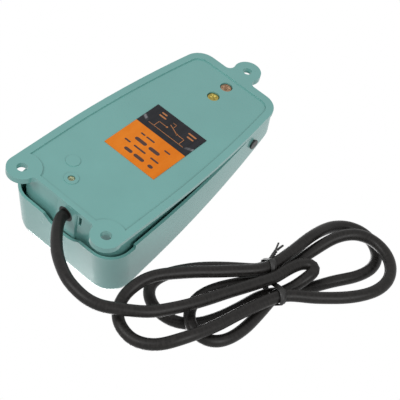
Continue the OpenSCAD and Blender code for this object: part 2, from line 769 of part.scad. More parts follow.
module lever_frame() {
    translate([0, lever_pin_y, lever_pin_z]) rotate([-lever_up, 0, 0]) children();
}
module switch_lever() {
    cheek = 0.8;
    color([0.76, 0.75, 0.72])
        difference() {
            lever_frame() {
                translate([-lever_w / 2, -lever_l + roller_d / 2 + 1, -lever_t / 2])
                    cube([lever_w, lever_l - roller_d / 2 - 1 - 2, lever_t]);
                // Ears round the pin and round the roller's pin.
                for (sx = [-1, 1]) {
                    across([sx * (lever_w - cheek) / 2, 0, 0], 3, cheek);
                    translate([sx * (lever_w - cheek) / 2 - cheek / 2, -4, -lever_t / 2]) cube([cheek, 4, 1.4]);
                    across([sx * (lever_w - cheek) / 2, -lever_l, 0], 3.2, cheek);
                    translate([sx * (lever_w - cheek) / 2 - cheek / 2, -lever_l, -0.9])
                        cube([cheek, roller_d / 2 + 3, 1.8]);
                }
            }
            across([0, lever_pin_y, lever_pin_z], lever_pin_d + 2 * fit_gap, 20);
            across([0, roller_y, roller_z], lever_pin_d + 2 * slip_gap, 20);
        }
}
module lever_pin() {
    color([0.7, 0.7, 0.7])
        across([0, lever_pin_y, lever_pin_z], lever_pin_d, lever_w + 2 * clear + 2 * clevis_w + 0.4);
}
module roller_pin() {
    color([0.7, 0.7, 0.7]) across([0, roller_y, roller_z], lever_pin_d, lever_w + 0.8);
}
module lever_roller() {
    color([0.93, 0.92, 0.88])
        difference() {
            across([0, roller_y, roller_z], roller_d, lever_w - 1.6 - 0.4);
            across([0, roller_y, roller_z], lever_pin_d + 2 * fit_gap, 20);
        }
}

// Terminal block on its post: two ways along X, each with two clamping screws.
term_x = block_screw_at[0] + 1;
term_y = block_screw_at[1];
way_dy = 3.4;
way_z = block_z + 3.5;
way_d = 3;
term_screw_d = 2.6;
module terminal_block() {
    color([0.9, 0.88, 0.82])
        difference() {
            translate([term_x - term_l / 2, term_y - term_w / 2, block_z]) cube([term_l, term_w, term_h]);
            for (sy = [-1, 1]) {
                across([term_x, term_y + sy * way_dy, way_z], way_d, term_l + 4);
                for (sx = [-1, 1])
                    translate([term_x + sx * 5.5, term_y + sy * way_dy, way_z])
                        cylinder(d = term_screw_d + 2 * slip_gap, h = term_h);
            }
            translate([block_screw_at[0], block_screw_at[1], block_z - 1])
                cylinder(d = clamp_screw_d + 2 * slip_gap, h = term_h + 2);
        }
}
module terminal_screws() {
    foot = way_z + way_d / 2 + 0.1;
    color([0.8, 0.66, 0.3])
        for (sx = [-1, 1], sy = [-1, 1])
            translate([term_x + sx * 5.5, term_y + sy * way_dy, foot])
                difference() {
                    cylinder(d = term_screw_d, h = block_z + term_h - 0.4 - foot);
                    translate([-2, -0.3, block_z + term_h - 1.2 - foot]) cube([4, 0.6, 2]);
                }
}
module block_screw() {
    top = block_z + term_h;
    color([0.75, 0.75, 0.75])
        translate([block_screw_at[0], block_screw_at[1], 0])
            difference() {
                union() {
                    translate([0, 0, floor_t + 0.3])
                        cylinder(d = clamp_screw_d - 2 * slip_gap, h = top - floor_t - 0.3 + 2 * slip_gap);
                    translate([0, 0, top + slip_gap]) cylinder(d = 4, h = 1.5);
                }
                translate([-3, -0.35, top + 0.8]) cube([6, 0.7, 2]);
            }
}

// Cord entry: bush in the boss, the cord's inner end and its clamp.
stub_end_y = clamp_screw_at[1] + 3.5;
module along_y(at, d, h) {
    translate(at) rotate([-90, 0, 0]) cylinder(d = d, h = h);
}
module cord_bush() {
    color([0.1, 0.1, 0.1])
        difference() {
            union() {
                along_y([cord_x, exit_y, cord_z], cord_hole_d - 2 * slip_gap, bush_wall_y + 1 - exit_y);
                along_y([cord_x, bush_wall_y + 0.05, cord_z], cord_hole_d + 2.6, 1.4);
            }
            along_y([cord_x, exit_y - 1, cord_z], cord_d + 2 * slip_gap, 20);
        }
}
module cord_stub() {
    color([0.13, 0.13, 0.13])
        along_y([cord_x, exit_y, cord_z], cord_d, stub_end_y - exit_y);
}
module cord_clamp() {
    color([0.72, 0.70, 0.64])
        difference() {
            union() {
                for (at = [clamp_hook_at, clamp_screw_at])
                    translate([at[0], at[1], clamp_z + slip_gap]) cylinder(d = 7, h = clamp_t);
                translate([clamp_hook_at[0], clamp_hook_at[1] - 3.5, clamp_z + slip_gap])
                    cube([clamp_screw_at[0] - clamp_hook_at[0], 7, clamp_t]);
            }
            translate([clamp_screw_at[0], clamp_screw_at[1], clamp_z - 1])
                cylinder(d = clamp_screw_d + 2 * slip_gap, h = 4);
        }
}
module clamp_screw() {
    color([0.78, 0.74, 0.6])
        translate([clamp_screw_at[0], clamp_screw_at[1], clamp_head_z[0]])
            difference() {
                union() {
                    cylinder(d = clamp_head_d, h = clamp_head_z[1] - clamp_head_z[0]);
                    cylinder(d = clamp_screw_d, h = clamp_z + clamp_t + 0.8 - clamp_head_z[0]);
                }
                translate([0, 0, -eps]) cross_slot(2.8, 0.8, 0.6);
            }
}

// Insulated wires inside.
core_d = 2.2;
way_near = term_x - term_l / 2;
way_far = term_x + term_l / 2;
module cord_cores() {
    row = [term_y - way_dy, term_y + way_dy];
    color([0.45, 0.27, 0.2]) {
        swept_tube(spline([
            [cord_x + 1.5, stub_end_y, cord_z],
            [cord_x + 1.7, stub_end_y + 1.6, cord_z],
            [cord_x + 3, stub_end_y + 3, cord_z + 0.2],
            [cord_x + 5.2, row[0] + 0.6, cord_z + 0.6],
            [way_near - 3, row[0] + 0.1, way_z - 0.1],
            [way_near - 0.5, row[0], way_z],
            [way_near + 3, row[0], way_z]
        ], 2), core_d, 8);
        swept_tube(spline([
            [cord_x - 1.5, stub_end_y, cord_z],
            [cord_x - 1.4, stub_end_y + 2.2, cord_z],
            [cord_x - 0.4, stub_end_y + 5.2, cord_z + 0.2],
            [cord_x + 2.4, stub_end_y + 7.9, cord_z + 0.6],
            [way_near - 4.4, row[1] - 0.3, way_z],
            [way_near - 1.5, row[1], way_z],
            [way_near + 3, row[1], way_z]
        ], 2), core_d, 8);
    }
}
module link_wires() {
    tab_z = case_z - 1.7;
    row = [term_y - way_dy, term_y + way_dy];
    color([0.2, 0.25, 0.5]) {
        // From the outer way to the normally open terminal.
        swept_tube(spline([
            [way_far - 3, row[0], way_z],
            [way_far, row[0], way_z],
            [way_far + 2.2, row[0] + 1.1, way_z + 0.8],
            [way_far + 3.1, row[0] + 3.8, way_z + 1.9],
            [29.4, row[0] + 8.5, way_z + 3],
            [28.6, toe_y + 40, way_z + 2.4],
            [26.5, toe_y + 54, way_z + 0.4],
            [22.5, toe_y + 66, 8.2],
            [17.5, tab_ys[2] - 3.6, tab_z],
            [12, tab_ys[2] - 0.7, tab_z],
            [7, tab_ys[2], tab_z],
            [tab_w / 2 + 0.2, tab_ys[2], tab_z]
        ], 3), core_d, 8);
        // From the inner way to the common terminal.
        swept_tube(spline([
            [way_far - 3, row[1], way_z],
            [way_far - 0.2, row[1], way_z],
            [way_far + 1.4, row[1] + 1.8, way_z - 0.3],
            [way_far + 0.8, row[1] + 4.8, way_z - 1],
            [way_far - 2, row[1] + 9.6, way_z - 1.9],
            [21.4, toe_y + 42, 7.2],
            [17.8, toe_y + 50, 7],
            [13.6, tab_ys[0] - 4, tab_z],
            [9.4, tab_ys[0] - 0.8, tab_z],
            [6, tab_ys[0], tab_z],
            [tab_w / 2 + 0.2, tab_ys[0], tab_z]
        ], 3), core_d, 8);
    }
}

// Label plate in the recessed field of the underside.
label_x = -2.3;
label_y = toe_y + 68;
module label_plate() {
    color([0.9, 0.5, 0.1])
        translate([label_x - label_w / 2, label_y - label_l / 2, field_depth - label_t])
            cube([label_w, label_l, label_t]);
}

// Free cord: out of the bush, down to the floor and round to the hank beside the base.
free_route = [
    [cord_x, exit_y, cord_z], [cord_x, exit_y - 1.5, cord_z], [cord_x, exit_y - 3, cord_z],
    [-4.4, -81.5, 8.1], [-10, -88.5, 7.2], [-17, -95.6, 5.8], [-25, -101.4, 4.5],
    [-35, -106.3, 3.5], [-45, -108, 3.2], [-52, -107.4, 3.2], [-58, -105, 3.2], [-63, -101.2, 3.2]
];
module cord() {
    color([0.13, 0.13, 0.13]) swept_tube(spline(free_route, 3), cord_d, 12);
}

// Hank beside the base: one tube that runs to and fro through its waist in lobes of different
// lengths, three layers deep where the tie holds it.
waist = [-101.2, -28.1];
hank_turn = 22;                                    // of the hank's axis against +Y
layer_z = [4.8, 12, 19.2];                         // heights of the layers at the waist
last_z = 12.8;                                     // height of the last strand at the waist
low_z = 3.3;                                       // height of a strand that lies on the floor
over_z = 11.5;                                     // and of one that lies over other strands
// Passes of the waist in their order: place across it, and slope there against the hank's axis.
passes = [[1.2, 0.05], [7.4, -0.45], [-4.1, 0.07], [12.6, 0.29], [-5.9, -0.08], [0.6, 0.08], [-11.6, 0.21]];
pass_z = [layer_z[0], layer_z[1], layer_z[1], layer_z[0], layer_z[0], layer_z[2], last_z];
function in_hank(along, across, z) = [
    waist[0] - along * sin(hank_turn) - across * cos(hank_turn),
    waist[1] + along * cos(hank_turn) - across * sin(hank_turn), z];
// Each lobe leads from one pass to the next: length, half width, lean to one side, roundness,
// height at its far end, and the shares of its length between which the height changes, at its
// start and at its end.
lobes = [
    [26, 5, 2.5, 1.3, 5.8, 0.6, 1, 0.3, 0.9],
    [-48.2, 3.9, -0.7, 1.3, layer_z[1], 0, 1, 0, 1],
    [65.5, 9.7, -8.8, 1.3, low_z, 0.25, 0.9, 0, 1],
    [-81.2, 20.4, 2.6, 1.3, over_z, 0.7, 1, 0.7, 1],
    [68.3, 10.9, -3.2, 1.6, over_z, 0.45, 1, 0.2, 0.6],
    [-57.5, 10.1, -0.6, 1.3, layer_z[2], 0, 1, 0.2, 0.9]
];
function ease(x) = let (t = min(1, max(0, x))) t * t * (3 - 2 * t);
// Makes the widest place of a lobe as wide as its half width says.
function fullness(p) = sqrt(1 + p) * pow((1 + p) / p, p / 2);
function lobe_point(k, t) =
    let (
        l = lobes[k], from = passes[k], to = passes[k + 1],
        c = cos(t), s = abs(sin(t)), side = from[0] > to[0] ? 1 : -1,
        along = l[0] * s, end_z = t < 90 ? pass_z[k] : pass_z[k + 1],
        begin = t < 90 ? l[5] : l[7], stop = t < 90 ? l[6] : l[8],
        ends = (from + to) / 2 + c * (from - to) / 2
    )
    in_hank(along,
        ends[0] + along * ends[1] + l[2] * s * s + side * fullness(l[3]) * l[1] * c * pow(s, l[3]),
        end_z + (l[4] - end_z) * ease((s - begin) / (stop - begin)));
// From the end of the free cord to the waist.
hank_route = [
    free_route[len(free_route) - 1], [-65.5, -99.3, 3.2], [-68, -97.4, 3.2], [-76, -89.4, 3.2],
    [-85, -73.5, 3.2], [-94, -51, 3.6], lobe_point(0, 0)
];
// From the last lobe through the waist to the end of the cord behind the other strands.
last = len(lobes) - 1;
tail_route = [
    lobe_point(last, 165), lobe_point(last, 180),
    in_hank(4, -11.9, 13.2), in_hank(8.5, -12.7, 14), in_hank(13, -13.8, 14.6)
];
function hank_path(steps) =
    let (lead = spline(hank_route, 3))
    concat([for (i = [0:len(lead) - 2]) lead[i]],
        [for (k = [0:last], i = [0:steps - (k == last ? 2 : 1)]) lobe_point(k, 180 * i / steps)],
        spline(tail_route, 3));
hank_points = hank_path(12);
module cord_hank() {
    color([0.13, 0.13, 0.13]) swept_tube(hank_points, cord_d, 6);
}
// Least gap of the tube to itself, on points along its axis that are well apart along the tube.
function finer(p, n) = [for (i = [0:len(p) - 2], j = [0:n - 1]) p[i] + (p[i + 1] - p[i]) * j / n];
function travelled(p) =
    [for (i = 0, l = 0; i < len(p); l = i < len(p) - 1 ? l + norm(p[i + 1] - p[i]) : l, i = i + 1) l];
hank_fine = finer(hank_points, 4);
hank_run = travelled(hank_fine);
hank_gap = min([for (i = [0:len(hank_fine) - 1], j = [i + 1:len(hank_fine) - 1])
    hank_run[j] - hank_run[i] > 2 * cord_d ? norm(hank_fine[i] - hank_fine[j]) : 99]) - cord_d;

// Tie: a flat band drawn round the strands at the waist.
tie_w = 4;
tie_t = 0.8;
// Round each strand at both edges of the band, since the strands pass it at a slope.
module tie_outline(grow) {
    hull()
        for (k = [0:len(passes) - 1], edge = [-0.5, 0.5])
            translate([-passes[k][0] - passes[k][1] * tie_w * edge, pass_z[k]])
                circle(r = cord_d / 2 * sqrt(1 + pow(passes[k][1], 2)) + clear + 0.3 + grow);
}
module cord_tie() {
    color([0.05, 0.05, 0.05])
        translate([waist[0], waist[1], 0])
            rotate([0, 0, hank_turn])
                translate([0, tie_w / 2, 0])
                    rotate([90, 0, 0])
                        linear_extrude(tie_w)
                            difference() {
                                tie_outline(tie_t);
                                tie_outline(0);
                            }
}

echo(hank_gap = hank_gap);
echo(lever_travel = lever_up - lever_down, plunger_travel = plunger_travel);
echo(pin = [lever_pin_y, lever_pin_z], roller = [roller_y, roller_z], blade = blade_pivot);
echo(hinge = [hinge_y, hinge_z], spring_low = spring_low, plunger = [plunger_y, plunger_top]);

base();
pedal();
hinge_pin();
hinge_washers();
return_spring();
press_buffers();
switch_plate();
plate_screws();
switch_case();
switch_cover();
switch_screws();
switch_nuts();
switch_terminals();
switch_blade();
switch_plunger();
switch_lever();
lever_pin();
lever_roller();
roller_pin();
terminal_block();
terminal_screws();
block_screw();
cord_bush();
cord_stub();
cord_clamp();
clamp_screw();
cord_cores();
link_wires();
label_plate();
cord();
cord_hank();
cord_tie();
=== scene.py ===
import math

import bmesh
import bpy
from mathutils import Matrix, Vector


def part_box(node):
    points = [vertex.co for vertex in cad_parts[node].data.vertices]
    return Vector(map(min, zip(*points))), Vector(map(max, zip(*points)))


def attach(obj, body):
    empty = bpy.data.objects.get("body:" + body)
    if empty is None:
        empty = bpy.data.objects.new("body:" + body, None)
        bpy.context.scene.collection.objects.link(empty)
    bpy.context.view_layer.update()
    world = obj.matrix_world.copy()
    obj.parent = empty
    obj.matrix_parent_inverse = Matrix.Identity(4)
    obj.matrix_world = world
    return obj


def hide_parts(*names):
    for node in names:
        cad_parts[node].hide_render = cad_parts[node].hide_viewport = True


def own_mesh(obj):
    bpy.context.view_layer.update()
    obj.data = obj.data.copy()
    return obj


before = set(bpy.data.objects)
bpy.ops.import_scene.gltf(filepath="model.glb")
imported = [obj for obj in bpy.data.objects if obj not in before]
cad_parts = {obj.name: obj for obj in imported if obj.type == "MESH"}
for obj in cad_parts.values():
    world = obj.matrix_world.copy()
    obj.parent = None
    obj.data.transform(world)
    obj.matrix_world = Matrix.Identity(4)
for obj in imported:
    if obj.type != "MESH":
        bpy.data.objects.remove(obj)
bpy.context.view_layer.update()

MM = 0.001

# Places that the pieces share with the solids, in millimetres.
CORD_THICKNESS = 6.3
CORD_EXIT = (-2.3, -74.304, 8.4)
LABEL_MIDDLE = (-2.3, -6.5)
LABEL_LENGTH = 43.2
LABEL_FACE = 0.4
LABEL_SPLIT = -2.9
SWITCH_PLATE_SCREWS = (44.5, 56.0)

WHITE = (1, 1, 1, 1)


# ---------------------------------------------------------------- camera, floor and light

def set_camera():
    """The camera looks up at the underside from beside the toe end."""
    across = (-0.7448709, 0.6454222, -0.1691081)
    upward = (0.5777352, 0.4971385, -0.6473603)
    backward = (-0.3337505, -0.5798995, -0.7431871)
    place = (-0.2672384, -0.4048352, -0.4927123)
    lens = bpy.data.cameras.new("camera")
    lens.sensor_width = 36
    lens.lens = 114.826
    lens.clip_start = 0.05
    lens.clip_end = 20
    camera = bpy.data.objects.new("camera", lens)
    bpy.context.collection.objects.link(camera)
    rows = [[across[i], upward[i], backward[i], place[i]] for i in range(3)]
    camera.matrix_world = Matrix(rows + [[0, 0, 0, 1]])
    bpy.context.scene.camera = camera


def set_floor():
    """A pale floor that shows from above only, so that the underside can be seen through it."""
    half = 2.5
    level = -0.4 * MM
    mesh = bpy.data.meshes.new("floor")
    corners = [(-half, -half, level), (half, -half, level), (half, half, level), (-half, half, level)]
    mesh.from_pydata(corners, [], [(0, 1, 2, 3)])
    floor = bpy.data.objects.new("floor", mesh)
    bpy.context.collection.objects.link(floor)
    material = bpy.data.materials.new("pale floor")
    material.use_nodes = True
    tree = material.node_tree
    tree.nodes.clear()
    out = tree.nodes.new("ShaderNodeOutputMaterial")
    choose = tree.nodes.new("ShaderNodeMixShader")
    chalk = tree.nodes.new("ShaderNodeBsdfDiffuse")
    chalk.inputs["Color"].default_value = (0.86, 0.86, 0.86, 1)
    clear = tree.nodes.new("ShaderNodeBsdfTransparent")
    side = tree.nodes.new("ShaderNodeNewGeometry")
    tree.links.new(side.outputs["Backfacing"], choose.inputs["Fac"])
    tree.links.new(chalk.outputs[0], choose.inputs[1])
    tree.links.new(clear.outputs[0], choose.inputs[2])
    tree.links.new(choose.outputs[0], out.inputs["Surface"])
    mesh.materials.append(material)
    floor.visible_shadow = False
    floor.visible_diffuse = False
    floor.visible_glossy = False
    floor.visible_transmission = False


def set_lamp(name, place, aim, size, power):
    data = bpy.data.lights.new(name, "AREA")
    data.shape = "DISK"
    data.size = size
    data.energy = power
    lamp = bpy.data.objects.new(name, data)
    bpy.context.collection.objects.link(lamp)
    lamp.location = place
    lamp.rotation_euler = (Vector(aim) - Vector(place)).to_track_quat("-Z", "Y").to_euler()
    lamp.visible_camera = False


def set_light():
    world = bpy.data.worlds.new("studio")
    bpy.context.scene.world = world
    world.use_nodes = True
    tree = world.node_tree
    tree.nodes.clear()
    out = tree.nodes.new("ShaderNodeOutputWorld")
    choose = tree.nodes.new("ShaderNodeMixShader")
    room = tree.nodes.new("ShaderNodeBackground")
    room.inputs["Color"].default_value = (0.93, 0.95, 1, 1)
    room.inputs["Strength"].default_value = 0.42
    backdrop = tree.nodes.new("ShaderNodeBackground")
    backdrop.inputs["Color"].default_value = WHITE
    backdrop.inputs["Strength"].default_value = 1
    path = tree.nodes.new("ShaderNodeLightPath")
    first = tree.nodes.new("ShaderNodeMath")
    first.operation = "MAXIMUM"
    seen = tree.nodes.new("ShaderNodeMath")
    seen.operation = "MAXIMUM"
    tree.links.new(path.outputs["Is Camera Ray"], first.inputs[0])
    tree.links.new(path.outputs["Is Glossy Ray"], first.inputs[1])
    tree.links.new(first.outputs[0], seen.inputs[0])
    tree.links.new(path.outputs["Is Transmission Ray"], seen.inputs[1])
    tree.links.new(seen.outputs[0], choose.inputs["Fac"])
    tree.links.new(room.outputs[0], choose.inputs[1])
    tree.links.new(backdrop.outputs[0], choose.inputs[2])
    tree.links.new(choose.outputs[0], out.inputs["Surface"])
    set_lamp("lamp below, left", (-0.80, -0.30, -0.62), (-0.02, -0.02, 0.01), 0.6, 4.4)
    set_lamp("lamp below, right", (0.40, -0.72, -0.68), (-0.02, 0.0, 0.01), 0.6, 4.8)
    set_lamp("lamp above", (0.18, 0.05, 1.15), (0, 0, 0.02), 0.7, 6.0)
    set_lamp("lamp above, hinge side", (0.75, 0.60, 0.60), (0, 0, 0.02), 0.6, 3.2)


# ---------------------------------------------------------------- node groups and finishes

def new_group(name, inputs, outputs):
    """An empty node group: inputs and outputs are (name, socket type, value) and (name, socket type)."""
    tree = bpy.data.node_groups.new(name, "ShaderNodeTree")
    for label, kind, value in inputs:
        socket = tree.interface.new_socket(label, in_out="INPUT", socket_type=kind)
        if value is not None:
            socket.default_value = value
    for label, kind in outputs:
        tree.interface.new_socket(label, in_out="OUTPUT", socket_type=kind)
    return tree, tree.nodes.new("NodeGroupInput"), tree.nodes.new("NodeGroupOutput")


def math_node(tree, operation, first, second=None, clamp=False):
    node = tree.nodes.new("ShaderNodeMath")
    node.operation = operation
    node.use_clamp = clamp
    for socket, value in zip(node.inputs, (first, second)):
        if value is None:
            continue
        if isinstance(value, (int, float)):
            socket.default_value = value
        else:
            tree.links.new(value, socket)
    return node.outputs[0]


def noise_node(tree, place, scale, detail=2.0, roughness=0.5):
    node = tree.nodes.new("ShaderNodeTexNoise")
    node.inputs["Detail"].default_value = detail
    node.inputs["Roughness"].default_value = roughness
    tree.links.new(place, node.inputs["Vector"])
    if isinstance(scale, (int, float)):
        node.inputs["Scale"].default_value = scale
    else:
        tree.links.new(scale, node.inputs["Scale"])
    return node.outputs["Fac"]


def range_node(tree, value, low, high, to_low=0.0, to_high=1.0):
    node = tree.nodes.new("ShaderNodeMapRange")
    tree.links.new(value, node.inputs["Value"])
    for label, number in (("From Min", low), ("From Max", high), ("To Min", to_low), ("To Max", to_high)):
        node.inputs[label].default_value = number
    return node.outputs["Result"]


def stretched(tree, place, scale):
    node = tree.nodes.new("ShaderNodeVectorMath")
    node.operation = "MULTIPLY"
    tree.links.new(place, node.inputs[0])
    if isinstance(scale, tuple):
        node.inputs[1].default_value = scale
    else:
        tree.links.new(scale, node.inputs[1])
    return node.outputs[0]


def group_sprayed_skin():
    """The skin of sprayed or dipped paint: a low swell, a fine orange peel and a few specks."""
    tree, given, made = new_group(
        "sprayed skin",
        [("Place", "NodeSocketVector", None), ("Swell Scale", "NodeSocketFloat", 60.0),
         ("Peel Scale", "NodeSocketFloat", 900.0), ("Peel Share", "NodeSocketFloat", 0.5)],
        [("Height", "NodeSocketFloat"), ("Tone", "NodeSocketFloat"), ("Specks", "NodeSocketFloat")])
    swell = noise_node(tree, given.outputs["Place"], given.outputs["Swell Scale"], 2)
    peel = noise_node(tree, given.outputs["Place"], given.outputs["Peel Scale"], 1)
    share = math_node(tree, "MULTIPLY", peel, given.outputs["Peel Share"])
    tree.links.new(math_node(tree, "ADD", swell, share), made.inputs["Height"])
    cloud = noise_node(tree, given.outputs["Place"], 22.0, 4, 0.6)
    tree.links.new(range_node(tree, cloud, 0.3, 0.7), made.inputs["Tone"])
    speck = tree.nodes.new("ShaderNodeTexVoronoi")
    speck.inputs["Scale"].default_value = 260.0
    tree.links.new(given.outputs["Place"], speck.inputs["Vector"])
    near = range_node(tree, speck.outputs["Distance"], 0.05, 0.11, 1.0, 0.0)
    rare = math_node(tree, "GREATER_THAN", noise_node(tree, given.outputs["Place"], 75.0, 2), 0.62)
    tree.links.new(math_node(tree, "MULTIPLY", near, rare), made.inputs["Specks"])
    return tree


def group_edge_rub():
    """A mask of the sharp edges, broken up, where paint or plating is thin or rubbed."""
    tree, given, made = new_group(
        "edge rub",
        [("Place", "NodeSocketVector", None), ("Width", "NodeSocketFloat", 0.0006),
         ("Break Scale", "NodeSocketFloat", 240.0)],
        [("Mask", "NodeSocketFloat")])
    eased = tree.nodes.new("ShaderNodeBevel")
    eased.samples = 4
    tree.links.new(given.outputs["Width"], eased.inputs["Radius"])
    shape = tree.nodes.new("ShaderNodeNewGeometry")
    turn = tree.nodes.new("ShaderNodeVectorMath")
    turn.operation = "DOT_PRODUCT"
    tree.links.new(eased.outputs[0], turn.inputs[0])
    tree.links.new(shape.outputs["Normal"], turn.inputs[1])
    edge = range_node(tree, turn.outputs["Value"], 0.985, 0.90)
    broken = noise_node(tree, given.outputs["Place"], given.outputs["Break Scale"], 3, 0.6)
    gaps = range_node(tree, broken, 0.38, 0.62)
    tree.links.new(math_node(tree, "MULTIPLY", edge, gaps, True), made.inputs["Mask"])
    return tree


def group_handling():
    """Soft smears and faint dust that break up a gloss."""
    tree, given, made = new_group(
        "handling",
        [("Place", "NodeSocketVector", None), ("Smear Scale", "NodeSocketFloat", 40.0)],
        [("Smears", "NodeSocketFloat"), ("Dust", "NodeSocketFloat")])
    wiped = stretched(tree, given.outputs["Place"], (1.0, 0.45, 1.0))
    smear = noise_node(tree, wiped, given.outputs["Smear Scale"], 5, 0.65)
    tree.links.new(range_node(tree, smear, 0.35, 0.7), made.inputs["Smears"])
    shape = tree.nodes.new("ShaderNodeNewGeometry")
    way = tree.nodes.new("ShaderNodeSeparateXYZ")
    tree.links.new(shape.outputs["Normal"], way.inputs[0])
    lying = range_node(tree, way.outputs["Z"], 0.5, 0.95)
    fine = range_node(tree, noise_node(tree, given.outputs["Place"], 420.0, 4, 0.7), 0.45, 0.75)
    tree.links.new(math_node(tree, "MULTIPLY", lying, fine, True), made.inputs["Dust"])
    return tree


def group_drawn_lines():
    """Fine lines along one way, as drawing, rolling or turning leaves them on metal."""
    tree, given, made = new_group(
        "drawn lines",
        [("Place", "NodeSocketVector", None), ("Stretch", "NodeSocketVector", (1.0, 0.05, 1.0)),
         ("Line Scale", "NodeSocketFloat", 1500.0)],
        [("Height", "NodeSocketFloat"), ("Streaks", "NodeSocketFloat")])
    along = stretched(tree, given.outputs["Place"], given.outputs["Stretch"])
    lines = noise_node(tree, along, given.outputs["Line Scale"], 3, 0.6)
    tree.links.new(lines, made.inputs["Height"])
    streak = noise_node(tree, along, 260.0, 3, 0.6)
    tree.links.new(range_node(tree, streak, 0.35, 0.65), made.inputs["Streaks"])
    return tree


def group_moulded_grain():
    """The fine grain and the faint flow marks of moulded plastic or rubber."""
    tree, given, made = new_group(
        "moulded grain",
        [("Place", "NodeSocketVector", None), ("Grain Scale", "NodeSocketFloat", 1800.0),
         ("Flow Scale", "NodeSocketFloat", 70.0)],
        [("Height", "NodeSocketFloat"), ("Flow", "NodeSocketFloat")])
    grain = noise_node(tree, given.outputs["Place"], given.outputs["Grain Scale"], 2)
    tree.links.new(grain, made.inputs["Height"])
    drawn_out = stretched(tree, given.outputs["Place"], (1.0, 1.0, 0.35))
    flow = noise_node(tree, drawn_out, given.outputs["Flow Scale"], 3)
    tree.links.new(range_node(tree, flow, 0.35, 0.65), made.inputs["Flow"])
    return tree


class Finish:
    """A material that is being made: its tree, its shader and the ways to place groups in it."""

    def __init__(self, name, colour, roughness, metallic=0.0, specular=0.5):
        self.material = bpy.data.materials.new(name)
        self.material.use_nodes = True
        self.tree = self.material.node_tree
        self.shader = self.tree.nodes["Principled BSDF"]
        self.set("Base Color", colour)
        self.set("Roughness", roughness)
        self.set("Metallic", metallic)
        self.set("Specular IOR Level", specular)
        place = self.tree.nodes.new("ShaderNodeTexCoord")
        self.place = place.outputs["Object"]

    def set(self, socket, value):
        if isinstance(value, tuple) and len(value) == 3:
            value = (*value, 1)
        self.shader.inputs[socket].default_value = value

    def group(self, tree, **values):
        node = self.tree.nodes.new("ShaderNodeGroup")
        node.node_tree = tree
        self.tree.links.new(self.place, node.inputs["Place"])
        for label, value in values.items():
            node.inputs[label.replace("_", " ")].default_value = value
        return node.outputs

    def mix(self, mask, first, second, strength=1.0):
        """A colour that goes from first to second with the mask; either may be a colour or a socket."""
        node = self.tree.nodes.new("ShaderNodeMix")
        node.data_type = "RGBA"
        if strength != 1.0:
            mask = math_node(self.tree, "MULTIPLY", mask, strength, True)
        self.tree.links.new(mask, node.inputs["Factor"])
        for socket, value in ((node.inputs[6], first), (node.inputs[7], second)):
            if isinstance(value, tuple):
                socket.default_value = (*value, 1) if len(value) == 3 else value
            else:
                self.tree.links.new(value, socket)
        return node.outputs[2]

    def link(self, value, socket):
        self.tree.links.new(value, self.shader.inputs[socket])

    def roughen(self, mask, low, high):
        self.link(range_node(self.tree, mask, 0, 1, low, high), "Roughness")

    def bump(self, *layers):
        """Bumps laid over each other: (height, strength, depth in metres)."""
        last = None
        for height, strength, depth in layers:
            node = self.tree.nodes.new("ShaderNodeBump")
            node.inputs["Strength"].default_value = strength
            node.inputs["Distance"].default_value = depth
            self.tree.links.new(height, node.inputs["Height"])
            if last:
                self.tree.links.new(last, node.inputs["Normal"])
            last = node.outputs[0]
        self.link(last, "Normal")


def shade(colour, by):
    return tuple(min(1.0, part * by) for part in colour)


def enamel(name, colour, skin, rub, handling):
    """Teal enamel on a zinc casting."""
    finish = Finish(name, colour, 0.3)
    peel = finish.group(skin, Swell_Scale=120.0, Peel_Scale=1300.0, Peel_Share=0.5)
    edges = finish.group(rub, Width=0.5 * MM, Break_Scale=260.0)
    hands = finish.group(handling, Smear_Scale=38.0)
    base = finish.mix(peel["Tone"], shade(colour, 0.95), shade(colour, 1.04))
    base = finish.mix(peel["Specks"], base, shade(colour, 0.7), 0.5)
    base = finish.mix(edges["Mask"], base, tuple(0.7 * c + 0.16 for c in colour), 0.3)
    base = finish.mix(hands["Dust"], base, (0.62, 0.62, 0.58), 0.06)
    finish.link(base, "Base Color")
    finish.roughen(hands["Smears"], 0.2, 0.28)
    finish.bump((peel["Height"], 0.25, 0.015 * MM))
    return finish.material


def metal(name, colour, roughness, lines, rub, stretch, tarnish=None, mottled=0.5):
    finish = Finish(name, colour, roughness, metallic=1.0)
    drawn = finish.group(lines, Stretch=stretch, Line_Scale=1400.0)
    edges = finish.group(rub, Width=0.25 * MM, Break_Scale=600.0)
    base = finish.mix(drawn["Streaks"], shade(colour, 0.88), shade(colour, 1.06))
    if tarnish:
        cloud = range_node(finish.tree, noise_node(finish.tree, finish.place, 420.0, 4, 0.6), 0.4, 0.65)
        base = finish.mix(cloud, base, tarnish, mottled)
    base = finish.mix(edges["Mask"], base, shade(colour, 1.35), 0.6)
    finish.link(base, "Base Color")
    finish.roughen(drawn["Streaks"], roughness * 0.85, roughness * 1.25)
    finish.bump((drawn["Height"], 0.35, 0.02 * MM))
    return finish.material


def plastic(name, colour, roughness, grain, rub, handling, clear=0.0):
    finish = Finish(name, colour, roughness)
    mould = finish.group(grain, Grain_Scale=2000.0, Flow_Scale=80.0)
    edges = finish.group(rub, Width=0.2 * MM, Break_Scale=500.0)
    hands = finish.group(handling, Smear_Scale=90.0)
    base = finish.mix(mould["Flow"], shade(colour, 0.93), shade(colour, 1.05))
    base = finish.mix(edges["Mask"], base, tuple(0.8 * c + 0.12 for c in colour), 0.4)
    finish.link(base, "Base Color")
    finish.roughen(hands["Smears"], roughness * 0.85, roughness * 1.2)
    finish.bump((mould["Height"], 0.4, 0.02 * MM))
    if clear:
        finish.set("Subsurface Weight", clear)
        finish.set("Subsurface Scale", 0.001)
    return finish.material


